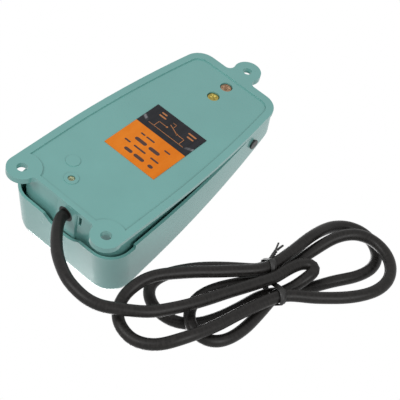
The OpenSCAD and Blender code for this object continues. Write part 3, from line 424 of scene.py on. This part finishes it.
def jacket(name, colour, grain, handling):
    """The cord's rubber: a matt skin with the faint lengthwise lines of the die."""
    finish = Finish(name, colour, 0.42, specular=0.22)
    along = finish.tree.nodes.new("ShaderNodeUVMap")
    along.uv_map = "length"
    mould = finish.group(grain, Grain_Scale=1500.0, Flow_Scale=60.0)
    hands = finish.group(handling, Smear_Scale=55.0)
    lengthwise = stretched(finish.tree, along.outputs[0], (60.0, 3.0, 1.0))
    die = noise_node(finish.tree, lengthwise, 1.0, 3, 0.6)
    blotched = stretched(finish.tree, along.outputs[0], (5.0, 18.0, 1.0))
    patches = range_node(finish.tree, noise_node(finish.tree, blotched, 1.0, 4, 0.6), 0.4, 0.7)
    base = finish.mix(range_node(finish.tree, die, 0.3, 0.7), shade(colour, 0.75), shade(colour, 1.35))
    base = finish.mix(patches, base, (0.04, 0.036, 0.033), 0.35)
    base = finish.mix(hands["Dust"], base, (0.2, 0.19, 0.18), 0.08)
    finish.link(base, "Base Color")
    finish.roughen(patches, 0.36, 0.52)
    finish.bump((die, 0.35, 0.06 * MM), (mould["Height"], 0.5, 0.03 * MM))
    return finish.material


def printed_label(name, handling, lines):
    """Printed aluminium label: black towards the hinge, orange towards the toe, worn bright corners."""
    orange = (0.79, 0.19, 0.004)
    black = (0.011, 0.011, 0.0135)
    finish = Finish(name, orange, 0.42, specular=0.18)
    tree = finish.tree
    where = tree.nodes.new("ShaderNodeSeparateXYZ")
    tree.links.new(finish.place, where.inputs[0])
    soft = 0.12
    split = range_node(tree, where.outputs["Y"], (LABEL_SPLIT - soft) * MM, (LABEL_SPLIT + soft) * MM)
    hands = finish.group(handling, Smear_Scale=60.0)
    drawn = finish.group(lines, Stretch=(1.0, 0.06, 1.0), Line_Scale=900.0)
    warm = finish.mix(hands["Smears"], shade(orange, 0.92), (0.86, 0.25, 0.02))
    dark = finish.mix(drawn["Streaks"], black, (0.02, 0.02, 0.024))
    # The black print is thin at both ends of the split, and the bright metal shows through.
    off_middle = math_node(tree, "SUBTRACT", where.outputs["X"], LABEL_MIDDLE[0] * MM)
    from_middle = math_node(tree, "ABSOLUTE", off_middle)
    outside = range_node(tree, from_middle, 13.2 * MM, 15.5 * MM)
    lean = math_node(tree, "MULTIPLY", from_middle, 0.5)
    slant = math_node(tree, "SUBTRACT", where.outputs["Y"], lean)
    band = math_node(tree, "ABSOLUTE", math_node(tree, "ADD", slant, 5.2 * MM))
    streak = math_node(tree, "MULTIPLY", outside, range_node(tree, band, 1.4 * MM, 0.3 * MM), True)
    thin = range_node(tree, drawn["Height"], 0.3, 0.6)
    worn = math_node(tree, "MULTIPLY", streak, thin, True)
    dark = finish.mix(worn, dark, (0.3, 0.3, 0.31), 0.75)
    base = finish.mix(split, warm, dark)
    finish.link(base, "Base Color")
    finish.roughen(hands["Smears"], 0.36, 0.5)
    finish.bump((drawn["Height"], 0.25, 0.015 * MM))
    return finish.material


def make_finishes():
    skin = group_sprayed_skin()
    rub = group_edge_rub()
    handling = group_handling()
    lines = group_drawn_lines()
    grain = group_moulded_grain()
    even, along_x, along_y = (1.0, 1.0, 1.0), (0.05, 1.0, 1.0), (1.0, 0.05, 1.0)

    def plated(name, colour, roughness, stretch, *tarnish):
        return metal(name, colour, roughness, lines, rub, stretch, *tarnish)

    def moulded(name, colour, roughness, *clear):
        return plastic(name, colour, roughness, grain, rub, handling, *clear)

    return {
        "enamel": enamel("teal enamel", (0.172, 0.40, 0.366), skin, rub, handling),
        "jacket": jacket("cord rubber", (0.008, 0.0074, 0.0068), grain, handling),
        "tape": moulded("black tie tape", (0.008, 0.0076, 0.007), 0.5),
        "label": printed_label("orange and black label", handling, lines),
        "ink": moulded("dark label ink", (0.045, 0.012, 0.006), 0.4),
        "amber": moulded("amber label ink", (0.46, 0.17, 0.045), 0.4),
        "yellow": plated("yellow zinc plating", (0.40, 0.33, 0.09), 0.26, even, (0.2, 0.15, 0.03)),
        "bronze": plated("tarnished zinc plating", (0.36, 0.235, 0.15), 0.34, even, (0.2, 0.1, 0.055)),
        "olive": plated("dulled zinc plating", (0.30, 0.33, 0.22), 0.36, even, (0.16, 0.18, 0.1)),
        "zinc": plated("bright zinc plating", (0.62, 0.64, 0.66), 0.34, along_y, (0.45, 0.47, 0.5), 0.4),
        "steel": plated("ground steel", (0.56, 0.57, 0.58), 0.24, along_x),
        "dark": plated("blackened steel", (0.07, 0.07, 0.068), 0.4, even),
        "spring": plated("drawn spring steel", (0.42, 0.43, 0.45), 0.3, (0.2, 0.2, 1.0)),
        "brass": plated("rolled brass", (0.78, 0.57, 0.27), 0.28, along_x, (0.5, 0.33, 0.14), 0.4),
        "copper": plated("rolled copper", (0.78, 0.42, 0.28), 0.3, along_y, (0.45, 0.2, 0.12), 0.35),
        "nylon": moulded("natural nylon", (0.72, 0.70, 0.62), 0.42, 0.15),
        "case": moulded("black switch plastic", (0.028, 0.027, 0.027), 0.38),
        "cover": moulded("brown switch plastic", (0.06, 0.035, 0.022), 0.38),
        "red": moulded("red plunger plastic", (0.45, 0.02, 0.015), 0.3),
        "rubber": moulded("black rubber", (0.02, 0.02, 0.02), 0.62),
        "brown": moulded("brown wire insulation", (0.16, 0.06, 0.025), 0.35),
        "blue": moulded("blue wire insulation", (0.02, 0.10, 0.42), 0.35),
    }


# ---------------------------------------------------------------- shared makers

def new_piece(name, mesh, body, material):
    piece = bpy.data.objects.new(name, mesh)
    bpy.context.collection.objects.link(piece)
    mesh.materials.clear()
    mesh.materials.append(material)
    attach(piece, body)
    return piece


def mesh_of(name, shape, smooth=True):
    mesh = bpy.data.meshes.new(name)
    shape.normal_update()
    shape.to_mesh(mesh)
    shape.free()
    for face in mesh.polygons:
        face.use_smooth = smooth
    return mesh


def curve_point(before, start, end, after, t):
    """The point at share t between start and end of a Catmull-Rom curve."""
    return tuple(
        0.5 * (2 * b + (c - a) * t + (2 * a - 5 * b + 4 * c - d) * t * t
               + (3 * b - a - 3 * c + d) * t ** 3)
        for a, b, c, d in zip(before, start, end, after))


def rounded_line(points, steps):
    """Catmull-Rom curve through the points."""
    line = []
    for i in range(len(points) - 1):
        before = points[max(i - 1, 0)]
        start, end = points[i], points[i + 1]
        after = points[min(i + 2, len(points) - 1)]
        for j in range(steps):
            line.append(curve_point(before, start, end, after, j / steps))
    line.append(tuple(points[-1]))
    return line


def line_length(line):
    return sum((Vector(b) - Vector(a)).length for a, b in zip(line, line[1:]))


def evenly(line, step):
    """The same line with points at one distance from each other."""
    total = line_length(line)
    count = max(2, round(total / step))
    out, i, done = [], 0, 0.0
    for k in range(count + 1):
        want = total * k / count
        while i < len(line) - 2 and done + (Vector(line[i + 1]) - Vector(line[i])).length < want:
            done += (Vector(line[i + 1]) - Vector(line[i])).length
            i += 1
        a, b = Vector(line[i]), Vector(line[i + 1])
        span = (b - a).length or 1.0
        out.append(a + (b - a) * min(1.0, (want - done) / span))
    return out


def frames_along(line):
    """For each point of the line its tangent and two cross directions, turned as little as may be."""
    count = len(line)
    tangents = []
    for i in range(count):
        a, b = line[max(i - 1, 0)], line[min(i + 1, count - 1)]
        tangents.append((b - a).normalized())
    side = tangents[0].cross(Vector((0, 0, 1)))
    if side.length < 0.1:
        side = tangents[0].cross(Vector((1, 0, 0)))
    side.normalize()
    frames = []
    for tangent in tangents:
        side = (side - tangent * side.dot(tangent)).normalized()
        frames.append((tangent, side, tangent.cross(side)))
    return frames


def tube_mesh(name, line, radius_at, sides):
    """A closed tube round the line; radius_at(distance, angle) gives its radius."""
    tile = 0.02
    shape = bmesh.new()
    uv = shape.loops.layers.uv.new("length")
    rings, marks, done = [], [], 0.0
    for i, (point, (tangent, side, over)) in enumerate(zip(line, frames_along(line))):
        if i:
            done += (point - line[i - 1]).length
        ring = []
        for k in range(sides):
            angle = 2 * math.pi * k / sides
            out = side * math.cos(angle) + over * math.sin(angle)
            ring.append(shape.verts.new(point + out * radius_at(done, angle)))
        rings.append(ring)
        marks.append(done)
    for i in range(len(rings) - 1):
        for k in range(sides):
            j = (k + 1) % sides
            face = shape.faces.new((rings[i][k], rings[i][j], rings[i + 1][j], rings[i + 1][k]))
            corners = ((k, i), (k + 1, i), (k + 1, i + 1), (k, i + 1))
            for loop, (part, ring) in zip(face.loops, corners):
                loop[uv].uv = (part / sides, marks[ring] / tile)
    shape.faces.new(list(reversed(rings[0])))
    shape.faces.new(rings[-1])
    bmesh.ops.recalc_face_normals(shape, faces=shape.faces)
    return mesh_of(name, shape)


def eased_casting(node, name, body, material, width):
    """The casting of a CAD node with its sharp edges rounded as a mould and thick enamel leave them."""
    shape = bmesh.new()
    shape.from_mesh(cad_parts[node].data)
    bmesh.ops.remove_doubles(shape, verts=shape.verts, dist=0.002 * MM)
    bmesh.ops.dissolve_limit(shape, angle_limit=math.radians(0.6), verts=shape.verts, edges=shape.edges)
    piece = new_piece(name, mesh_of(name, shape), body, material)
    round_over = piece.modifiers.new("rounded edges", "BEVEL")
    round_over.width = width
    round_over.segments = 3
    round_over.limit_method = "ANGLE"
    round_over.angle_limit = math.radians(30)
    round_over.use_clamp_overlap = True
    round_over.harden_normals = False
    weigh = piece.modifiers.new("even shading", "WEIGHTED_NORMAL")
    weigh.keep_sharp = True
    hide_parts(node)


# ---------------------------------------------------------------- cord, hank and tie

HANK_WAIST = (-101.2, -28.1)
HANK_TURN = math.radians(22)
LAYERS = (4.8, 12.0, 19.2)
LOBE_POINTS = 12
CURVE_STEPS = 8
CORD_STEP = 1.6
CORD_SIDES = 28
# Passes of the waist: place across it, slope there, height.
PASSES = (
    (1.2, 0.05, LAYERS[0]), (7.4, -0.45, LAYERS[1]), (-4.1, 0.07, LAYERS[1]), (12.6, 0.29, LAYERS[0]),
    (-5.9, -0.08, LAYERS[0]), (0.6, 0.08, LAYERS[2]), (-11.6, 0.21, 12.8))
# Lobes between the passes: length, half width, lean, roundness, far height, and the shares of the
# length between which the height changes, on the way out and on the way back.
LOBES = (
    (26, 5, 2.5, 1.3, 5.8, 0.6, 1, 0.3, 0.9),
    (-48.2, 3.9, -0.7, 1.3, LAYERS[1], 0, 1, 0, 1),
    (65.5, 9.7, -8.8, 1.3, 3.3, 0.25, 0.9, 0, 1),
    (-81.2, 20.4, 2.6, 1.3, 11.5, 0.7, 1, 0.7, 1),
    (68.3, 10.9, -3.2, 1.6, 11.5, 0.45, 1, 0.2, 0.6),
    (-57.5, 10.1, -0.6, 1.3, LAYERS[2], 0, 1, 0.2, 0.9),
)
FREE_ROUTE = (
    CORD_EXIT, (-2.3, -75.804, 8.4), (-2.3, -77.304, 8.4),
    (-4.4, -81.5, 8.1), (-10, -88.5, 7.2), (-17, -95.6, 5.8), (-25, -101.4, 4.5),
    (-35, -106.3, 3.5), (-45, -108, 3.2), (-52, -107.4, 3.2), (-58, -105, 3.2), (-63, -101.2, 3.2),
)


def in_hank(along, across, height):
    sine, cosine = math.sin(HANK_TURN), math.cos(HANK_TURN)
    return (HANK_WAIST[0] - along * sine - across * cosine,
            HANK_WAIST[1] + along * cosine - across * sine, height)


def eased(share):
    t = min(1.0, max(0.0, share))
    return t * t * (3 - 2 * t)


def lobe_point(number, turn):
    reach, half, lean, round_power, far, in_from, in_to, out_from, out_to = LOBES[number]
    (start, start_slope, low), (end, end_slope, high) = PASSES[number], PASSES[number + 1]
    c, s = math.cos(turn), abs(math.sin(turn))
    side = 1 if start > end else -1
    first = turn < math.pi / 2
    level = low if first else high
    begin, stop = (in_from, in_to) if first else (out_from, out_to)
    along = reach * s
    fullness = math.sqrt(1 + round_power) * ((1 + round_power) / round_power) ** (round_power / 2)
    across = (start * (1 + c) / 2 + end * (1 - c) / 2
              + along * (start_slope * (1 + c) / 2 + end_slope * (1 - c) / 2)
              + lean * s * s + side * fullness * half * c * s ** round_power)
    return in_hank(along, across, level + (far - level) * eased((s - begin) / (stop - begin)))


def cord_line():
    free = rounded_line(FREE_ROUTE, CURVE_STEPS)
    last = len(LOBES) - 1
    route = [FREE_ROUTE[-1], (-65.5, -99.3, 3.2), (-68, -97.4, 3.2), (-76, -89.4, 3.2),
             (-85, -73.5, 3.2), (-94, -51, 3.6)]
    route += [lobe_point(number, math.pi * i / LOBE_POINTS)
              for number in range(last + 1) for i in range(LOBE_POINTS)]
    route += [lobe_point(last, math.pi), in_hank(4, -11.9, 13.2), in_hank(8.5, -12.7, 14),
              in_hank(13, -13.8, 14.6)]
    return free[:-1] + rounded_line(route, CURVE_STEPS)


def relaxed(line, rounds):
    """The line with its tightest bends spread out a little, as the stiff jacket spreads them."""
    for _ in range(rounds):
        middle = [(a + 2 * b + c) / 4 for a, b, c in zip(line[2:-2], line[3:-1], line[4:])]
        line = line[:3] + middle + line[-1:]
    return line


def make_cord(finishes):
    line = [p * MM for p in evenly(relaxed(evenly(cord_line(), CORD_STEP), 3), CORD_STEP)]
    radius = CORD_THICKNESS / 2 * MM
    twist, swell = 0.048, 0.010

    def lay(distance, angle):
        """The two cores under the jacket swell it a little as they wind round each other."""
        return radius * (1 - swell + swell * math.cos(2 * (angle - 2 * math.pi * distance / twist)))

    mesh = tube_mesh("mains_cord", line, lay, CORD_SIDES)
    cord = new_piece("mains_cord", mesh, "base_body", finishes["jacket"])
    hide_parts("cord", "cord_hank")
    return cord, line


def tie_line():
    """The way of the tape round the strands at the waist, in the hank's own across and height."""
    def arc(strand, start, end, room=0.35, count=6):
        across, _, height = PASSES[strand]
        off = CORD_THICKNESS / 2 + room
        return [(across + off * math.cos(math.radians(start + (end - start) * i / count)),
                 height + off * math.sin(math.radians(start + (end - start) * i / count)))
                for i in range(count + 1)]

    points = arc(6, 120, 208, 0.6) + arc(4, 214, 345)
    # Between the free strand, which stays outside the tie, and the strands over it.
    points += arc(0, 150, 30, 0.58, 4)
    points += arc(3, 236, 392, 0.7, 8)
    points += arc(1, 34, 46, 0.9, 2)
    points += arc(5, 50, 118, 0.45, 5)
    return points


def make_tie(finishes):
    """Flat wire-cored tape round the strands at the waist, with its two ends twisted together."""
    half, thick, steps = 1.7, 0.5, 3
    # The tape's section, as (along, out): thin edges and a raised wire in the middle.
    tape = [(-half, 0), (-half, 0.18), (-0.7, 0.2), (-0.45, thick),
            (0.45, thick), (0.7, 0.2), (half, 0.18), (half, 0)]
    loop = tie_line()
    count = len(loop)
    smooth = [curve_point(loop[i - 1], loop[i], loop[(i + 1) % count], loop[(i + 2) % count], j / steps)
              for i in range(count) for j in range(steps)]
    route = [(2.6 - 0.27 * across + 0.15 * math.sin(i * 0.21), across, height)
             for i, (across, height) in enumerate(smooth)]
    shape = bmesh.new()
    rings = []
    for i, (along, across, height) in enumerate(route):
        a, b = route[i - 1], route[(i + 1) % len(route)]
        way = Vector((b[1] - a[1], b[2] - a[2])).normalized()
        out = Vector((way.y, -way.x))
        rings.append([
            shape.verts.new(Vector(in_hank(along + w, across + out.x * o, height + out.y * o)) * MM)
            for w, o in tape])
    for i, near in enumerate(rings):
        far = rings[(i + 1) % len(rings)]
        for k in range(len(tape)):
            j = (k + 1) % len(tape)
            shape.faces.new((near[k], near[j], far[j], far[k]))
    bmesh.ops.recalc_face_normals(shape, faces=shape.faces)
    mesh = mesh_of("cord_tie_tape", shape)
    tie = new_piece("cord_tie_tape", mesh, "base_body", finishes["tape"])
    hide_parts("cord_tie")

    # The two ends: twisted round each other close to the strands, then spread.
    shape = bmesh.new()
    root = Vector((5.6, -9.6, 4.2))
    way = Vector((0.80, -0.60, 0.05))
    length, turns, twisted, points = 12.5, 2.6, 0.62, 45
    for phase in (0.0, math.pi):
        line = []
        for i in range(points + 1):
            t = i / points
            spin = phase + 2 * math.pi * turns * min(t, twisted) / twisted
            opened = max(0.0, t - twisted) / 0.38
            spread = 0.55 + opened ** 1.3 * (1.5 if phase else 0.6)
            centre = root + way * (length * t)
            point = centre + Vector((math.cos(spin), 0.55 * math.sin(spin), math.sin(spin))) * spread
            line.append(Vector(in_hank(point.x, point.y, max(1.2, point.z))) * MM)
        part = tube_mesh("end", line, lambda d, a: (0.75 - 0.3 * abs(math.sin(a))) * MM, 10)
        shape.from_mesh(part)
        bpy.data.meshes.remove(part)
    mesh = mesh_of("cord_tie_ends", shape)
    ends = new_piece("cord_tie_ends", mesh, "base_body", finishes["tape"])
    return [tie, ends]


# ---------------------------------------------------------------- castings, label and fasteners

def make_castings(finishes):
    eased_casting("base", "base_casting", "base_body", finishes["enamel"], 0.45 * MM)
    eased_casting("pedal", "pedal_casting", "pedal_body", finishes["enamel"], 0.4 * MM)


def print_mesh(name, outlines):
    """Flat ink on the label: each outline is a closed list of (x, y) points in millimetres."""
    shape = bmesh.new()
    top, under = (LABEL_FACE + 0.02) * MM, (LABEL_FACE - 0.025) * MM
    for outline in outlines:
        low = [shape.verts.new((x * MM, y * MM, under)) for x, y in outline]
        high = [shape.verts.new((x * MM, y * MM, top)) for x, y in outline]
        count = len(outline)
        shape.faces.new(low)
        shape.faces.new(list(reversed(high)))
        for i in range(count):
            j = (i + 1) % count
            shape.faces.new((low[i], high[i], high[j], low[j]))
    bmesh.ops.recalc_face_normals(shape, faces=shape.faces)
    return mesh_of(name, shape, smooth=False)


def bar(x, y, length, width, turn=0.0):
    """A bar with soft ends round (x, y), turned by turn degrees."""
    half, end = length / 2, width / 2
    cosine, sine = math.cos(math.radians(turn)), math.sin(math.radians(turn))
    points = []
    for middle, start in ((half - end, -90), (-half + end, 90)):
        for i in range(5):
            angle = math.radians(start + 45 * i)
            px, py = middle + end * math.cos(angle), end * math.sin(angle)
            points.append((x + px * cosine - py * sine, y + px * sine + py * cosine))
    return points


def line_bars(points, width):
    """Bars laid end to end along a line of points."""
    bars = []
    for (ax, ay), (bx, by) in zip(points, points[1:]):
        length = math.hypot(bx - ax, by - ay)
        turn = math.degrees(math.atan2(by - ay, bx - ax))
        bars.append(bar((ax + bx) / 2, (ay + by) / 2, length + width, width, turn))
    return bars


def make_label(finishes):
    """Rows of plain bars on the orange half and a simple two-way contact drawing on the black half."""
    cx = LABEL_MIDDLE[0]
    near = LABEL_MIDDLE[1] - LABEL_LENGTH / 2
    rows = []
    # Distance from the near edge, width, and for each bar its middle and its length.
    for distance, width, pieces in (
            (5.2, 2.2, ((-10.6, 3.4), (-2.4, 7.2), (5.2, 5.6))),
            (10.1, 1.2, ((-9.2, 5.8), (1.4, 8.4), (10.2, 4.2))),
            (15.0, 2.4, ((-4.6, 7.6), (5.0, 8.2))),
            (19.8, 1.1, ((-9.8, 4.2), (2.4, 6.0), (7.8, 3.2)))):
        for x, length in pieces:
            rows.append(bar(cx + x, near + distance, length, width))
    new_piece("label_rows", print_mesh("label_rows", rows), "base_body", finishes["ink"])

    def contact_line(width, *points):
        return line_bars([(cx + x, LABEL_SPLIT + y) for x, y in points], width)

    drawing = contact_line(0.34, (8.6, 4.0), (8.6, 8.6), (3.4, 8.6))
    drawing += contact_line(0.34, (-9.6, 4.0), (-9.6, 8.6), (-4.2, 8.6))
    drawing += contact_line(0.42, (-4.2, 8.6), (2.6, 11.4))
    drawing += contact_line(0.3, (0.2, 10.6), (0.2, 13.6), (2.6, 13.6))
    drawing += contact_line(0.34, (-12.6, 4.0), (12.2, 4.0))
    for x, y, length, width in ((3.0, 8.6, 1.3, 1.3), (-4.4, 8.6, 1.3, 1.3),
                                (-11.2, 11.8, 4.6, 1.0), (-10.6, 14.4, 5.8, 1.0),
                                (9.6, 12.6, 5.0, 1.0), (10.2, 15.0, 3.8, 1.0)):
        drawing.append(bar(cx + x, LABEL_SPLIT + y, length, width))
    mesh = print_mesh("label_drawing", drawing)
    new_piece("label_drawing", mesh, "base_body", finishes["amber"])


def make_screw(name, x, y, turn, material, recess_dark_and_painted_shade, head_top, head_d, head_h):
    """A pan head that looks down, with a crowned face and a cross recess; the recess is darkened, and a
    ring of painted shade lies round the rim where the counterbore's shadow falls.
    """
    shape = bmesh.new()
    sides, half_slot, reach, deep = 48, 0.5, 0.33 * head_d, 1.0
    radii = (0.0, 0.12, 0.24, 0.36, 0.5, 0.62, 0.74, 0.84, 0.92, 0.97, 1.0)
    rings, darkened_recess = [], set()
    for share in radii:
        r = head_d / 2 * share
        ring = []
        for k in range(sides):
            angle = 2 * math.pi * k / sides
            px, py = r * math.cos(angle), r * math.sin(angle)
            crown = head_top + 0.42 * share ** 2 + (0.35 if share == 1.0 else 0.0)
            arm = min(abs(px), abs(py))
            out = max(abs(px), abs(py))
            across_arm = eased((half_slot * 1.25 - arm) / (half_slot * 0.5))
            along_arm = eased((reach * 1.12 - out) / (reach * 0.3))
            sunk = across_arm * along_arm
            level = crown + deep * sunk * (1 - 0.45 * (out / reach) ** 2 if out < reach else 0.55)
            ring.append((px, py, level))
            # Faces of the cross recess, which take the dark second material.
            if share < 0.9 and sunk > 0.45:
                darkened_recess.add((len(rings), k))
        rings.append(ring)
    rings.append([(px, py, head_top + head_h) for px, py, _ in rings[-1]])
    rings[0] = rings[0][:1]
    spin = Matrix.Rotation(math.radians(turn), 3, "Z")
    made = [[shape.verts.new((spin @ Vector(p) + Vector((x, y, 0))) * MM) for p in ring] for ring in rings]
    for k in range(sides):
        j = (k + 1) % sides
        shape.faces.new((made[0][0], made[1][j], made[1][k])).material_index = 1
        for n in range(1, len(made) - 1):
            face = shape.faces.new((made[n][k], made[n][j], made[n + 1][j], made[n + 1][k]))
            # The outer rings and the side wall take the dark metal: painted shade, the counterbore's
            # shadow round the head.
            if n >= len(radii) - 4 or {(n, k), (n + 1, k)} <= darkened_recess:
                face.material_index = 1
    shape.faces.new(made[-1])
    bmesh.ops.recalc_face_normals(shape, faces=shape.faces)
    screw = new_piece(name, mesh_of(name, shape), "base_body", material)
    screw.data.materials.append(recess_dark_and_painted_shade)
    return screw


def make_screws(finishes):
    """The two plate screws and the cord clamp's screw, seen from under the base."""
    dark = finishes["dark"]
    inner_y, outer_y = SWITCH_PLATE_SCREWS
    plate_head = {"head_top": 1.1, "head_d": 6.6, "head_h": 1.7}
    clamp_head = {"head_top": 0.5, "head_d": 4.0, "head_h": 2.1}
    # The dark metal is also the screws' second material: darkening in the recess and painted shade round
    # the head.
    make_screw("plate_screw_inner", 0, inner_y, 28, finishes["yellow"], dark, **plate_head)
    screw = make_screw("plate_screw_outer", 0, outer_y, 61, finishes["bronze"], dark, **plate_head)
    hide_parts("plate_screws")
    washers = bmesh.new()
    sides = 40
    for y in SWITCH_PLATE_SCREWS:
        rings = []
        for radius, level in ((2.2, 3.05), (2.2, 2.45), (3.3, 2.3), (3.5, 2.45), (3.5, 3.05)):
            ring = []
            for k in range(sides):
                angle = math.radians(9 * k)
                place = (radius * math.cos(angle) * MM, (y + radius * math.sin(angle)) * MM, level * MM)
                ring.append(washers.verts.new(place))
            rings.append(ring)
        for near, far in zip(rings, rings[1:] + rings[:1]):
            for k in range(sides):
                j = (k + 1) % sides
                washers.faces.new((near[k], near[j], far[j], far[k]))
    bmesh.ops.recalc_face_normals(washers, faces=washers.faces)
    mesh = mesh_of("plate_screw_washers", washers, smooth=False)
    new_piece("plate_screw_washers", mesh, "base_body", dark)
    clamp = make_screw("clamp_screw_head", 8.4, -60.3, 12, finishes["olive"], dark, **clamp_head)
    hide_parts("clamp_screw")


def make_spring(finishes):
    """The return spring with its closed end turns."""
    low, high = (corner[2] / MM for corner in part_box("return_spring"))
    middle, wire, radius, turns, steps = (0, -38.5), 1.6, 6.7, 7, 28
    rise = high - low - wire
    pitch = (rise - 2 * wire) / (turns - 2)
    line = []
    for i in range(turns * steps + 1):
        turn = i / steps
        angle = 2 * math.pi * turn
        height = (wire * min(turn, 1) + pitch * min(max(turn - 1, 0), turns - 2)
                  + wire * max(turn - turns + 1, 0))
        line.append(Vector((middle[0] + radius * math.cos(angle), middle[1] + radius * math.sin(angle),
                            low + wire / 2 + height)) * MM)
    mesh = tube_mesh("return_spring_coil", line, lambda d, a: wire / 2 * MM, 12)
    spring = new_piece("return_spring_coil", mesh, "base_body", finishes["spring"])
    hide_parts("return_spring")
    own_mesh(spring)


def dress_nodes(finishes):
    """The solids that keep their shape get their finishes."""
    wear = {
        "steel": ("lever_pin", "roller_pin", "switch_lever"),
        "dark": ("hinge_pin",),
        "zinc": ("switch_plate", "switch_screws", "switch_nuts", "block_screw", "cord_clamp"),
        "yellow": ("terminal_screws",),
        "brass": ("switch_terminals",),
        "copper": ("switch_blade",),
        "nylon": ("hinge_washers", "lever_roller", "terminal_block"),
        "case": ("switch_case",),
        "cover": ("switch_cover",),
        "red": ("switch_plunger",),
        "rubber": ("press_buffers", "cord_bush"),
        "jacket": ("cord_stub",),
        "brown": ("cord_cores",),
        "blue": ("link_wires",),
        "label": ("label_plate",),
    }
    for finish, nodes in wear.items():
        for node in nodes:
            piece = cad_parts[node]
            if not piece.material_slots:
                piece.data.materials.append(finishes[finish])
            for slot in piece.material_slots:
                slot.material = finishes[finish]


set_camera()
bpy.context.scene.view_settings.view_transform = "Standard"
set_floor()
set_light()
finishes = make_finishes()
cord, cord_path = make_cord(finishes)
tie_pieces = make_tie(finishes)
make_castings(finishes)
make_label(finishes)
make_screws(finishes)
make_spring(finishes)
dress_nodes(finishes)
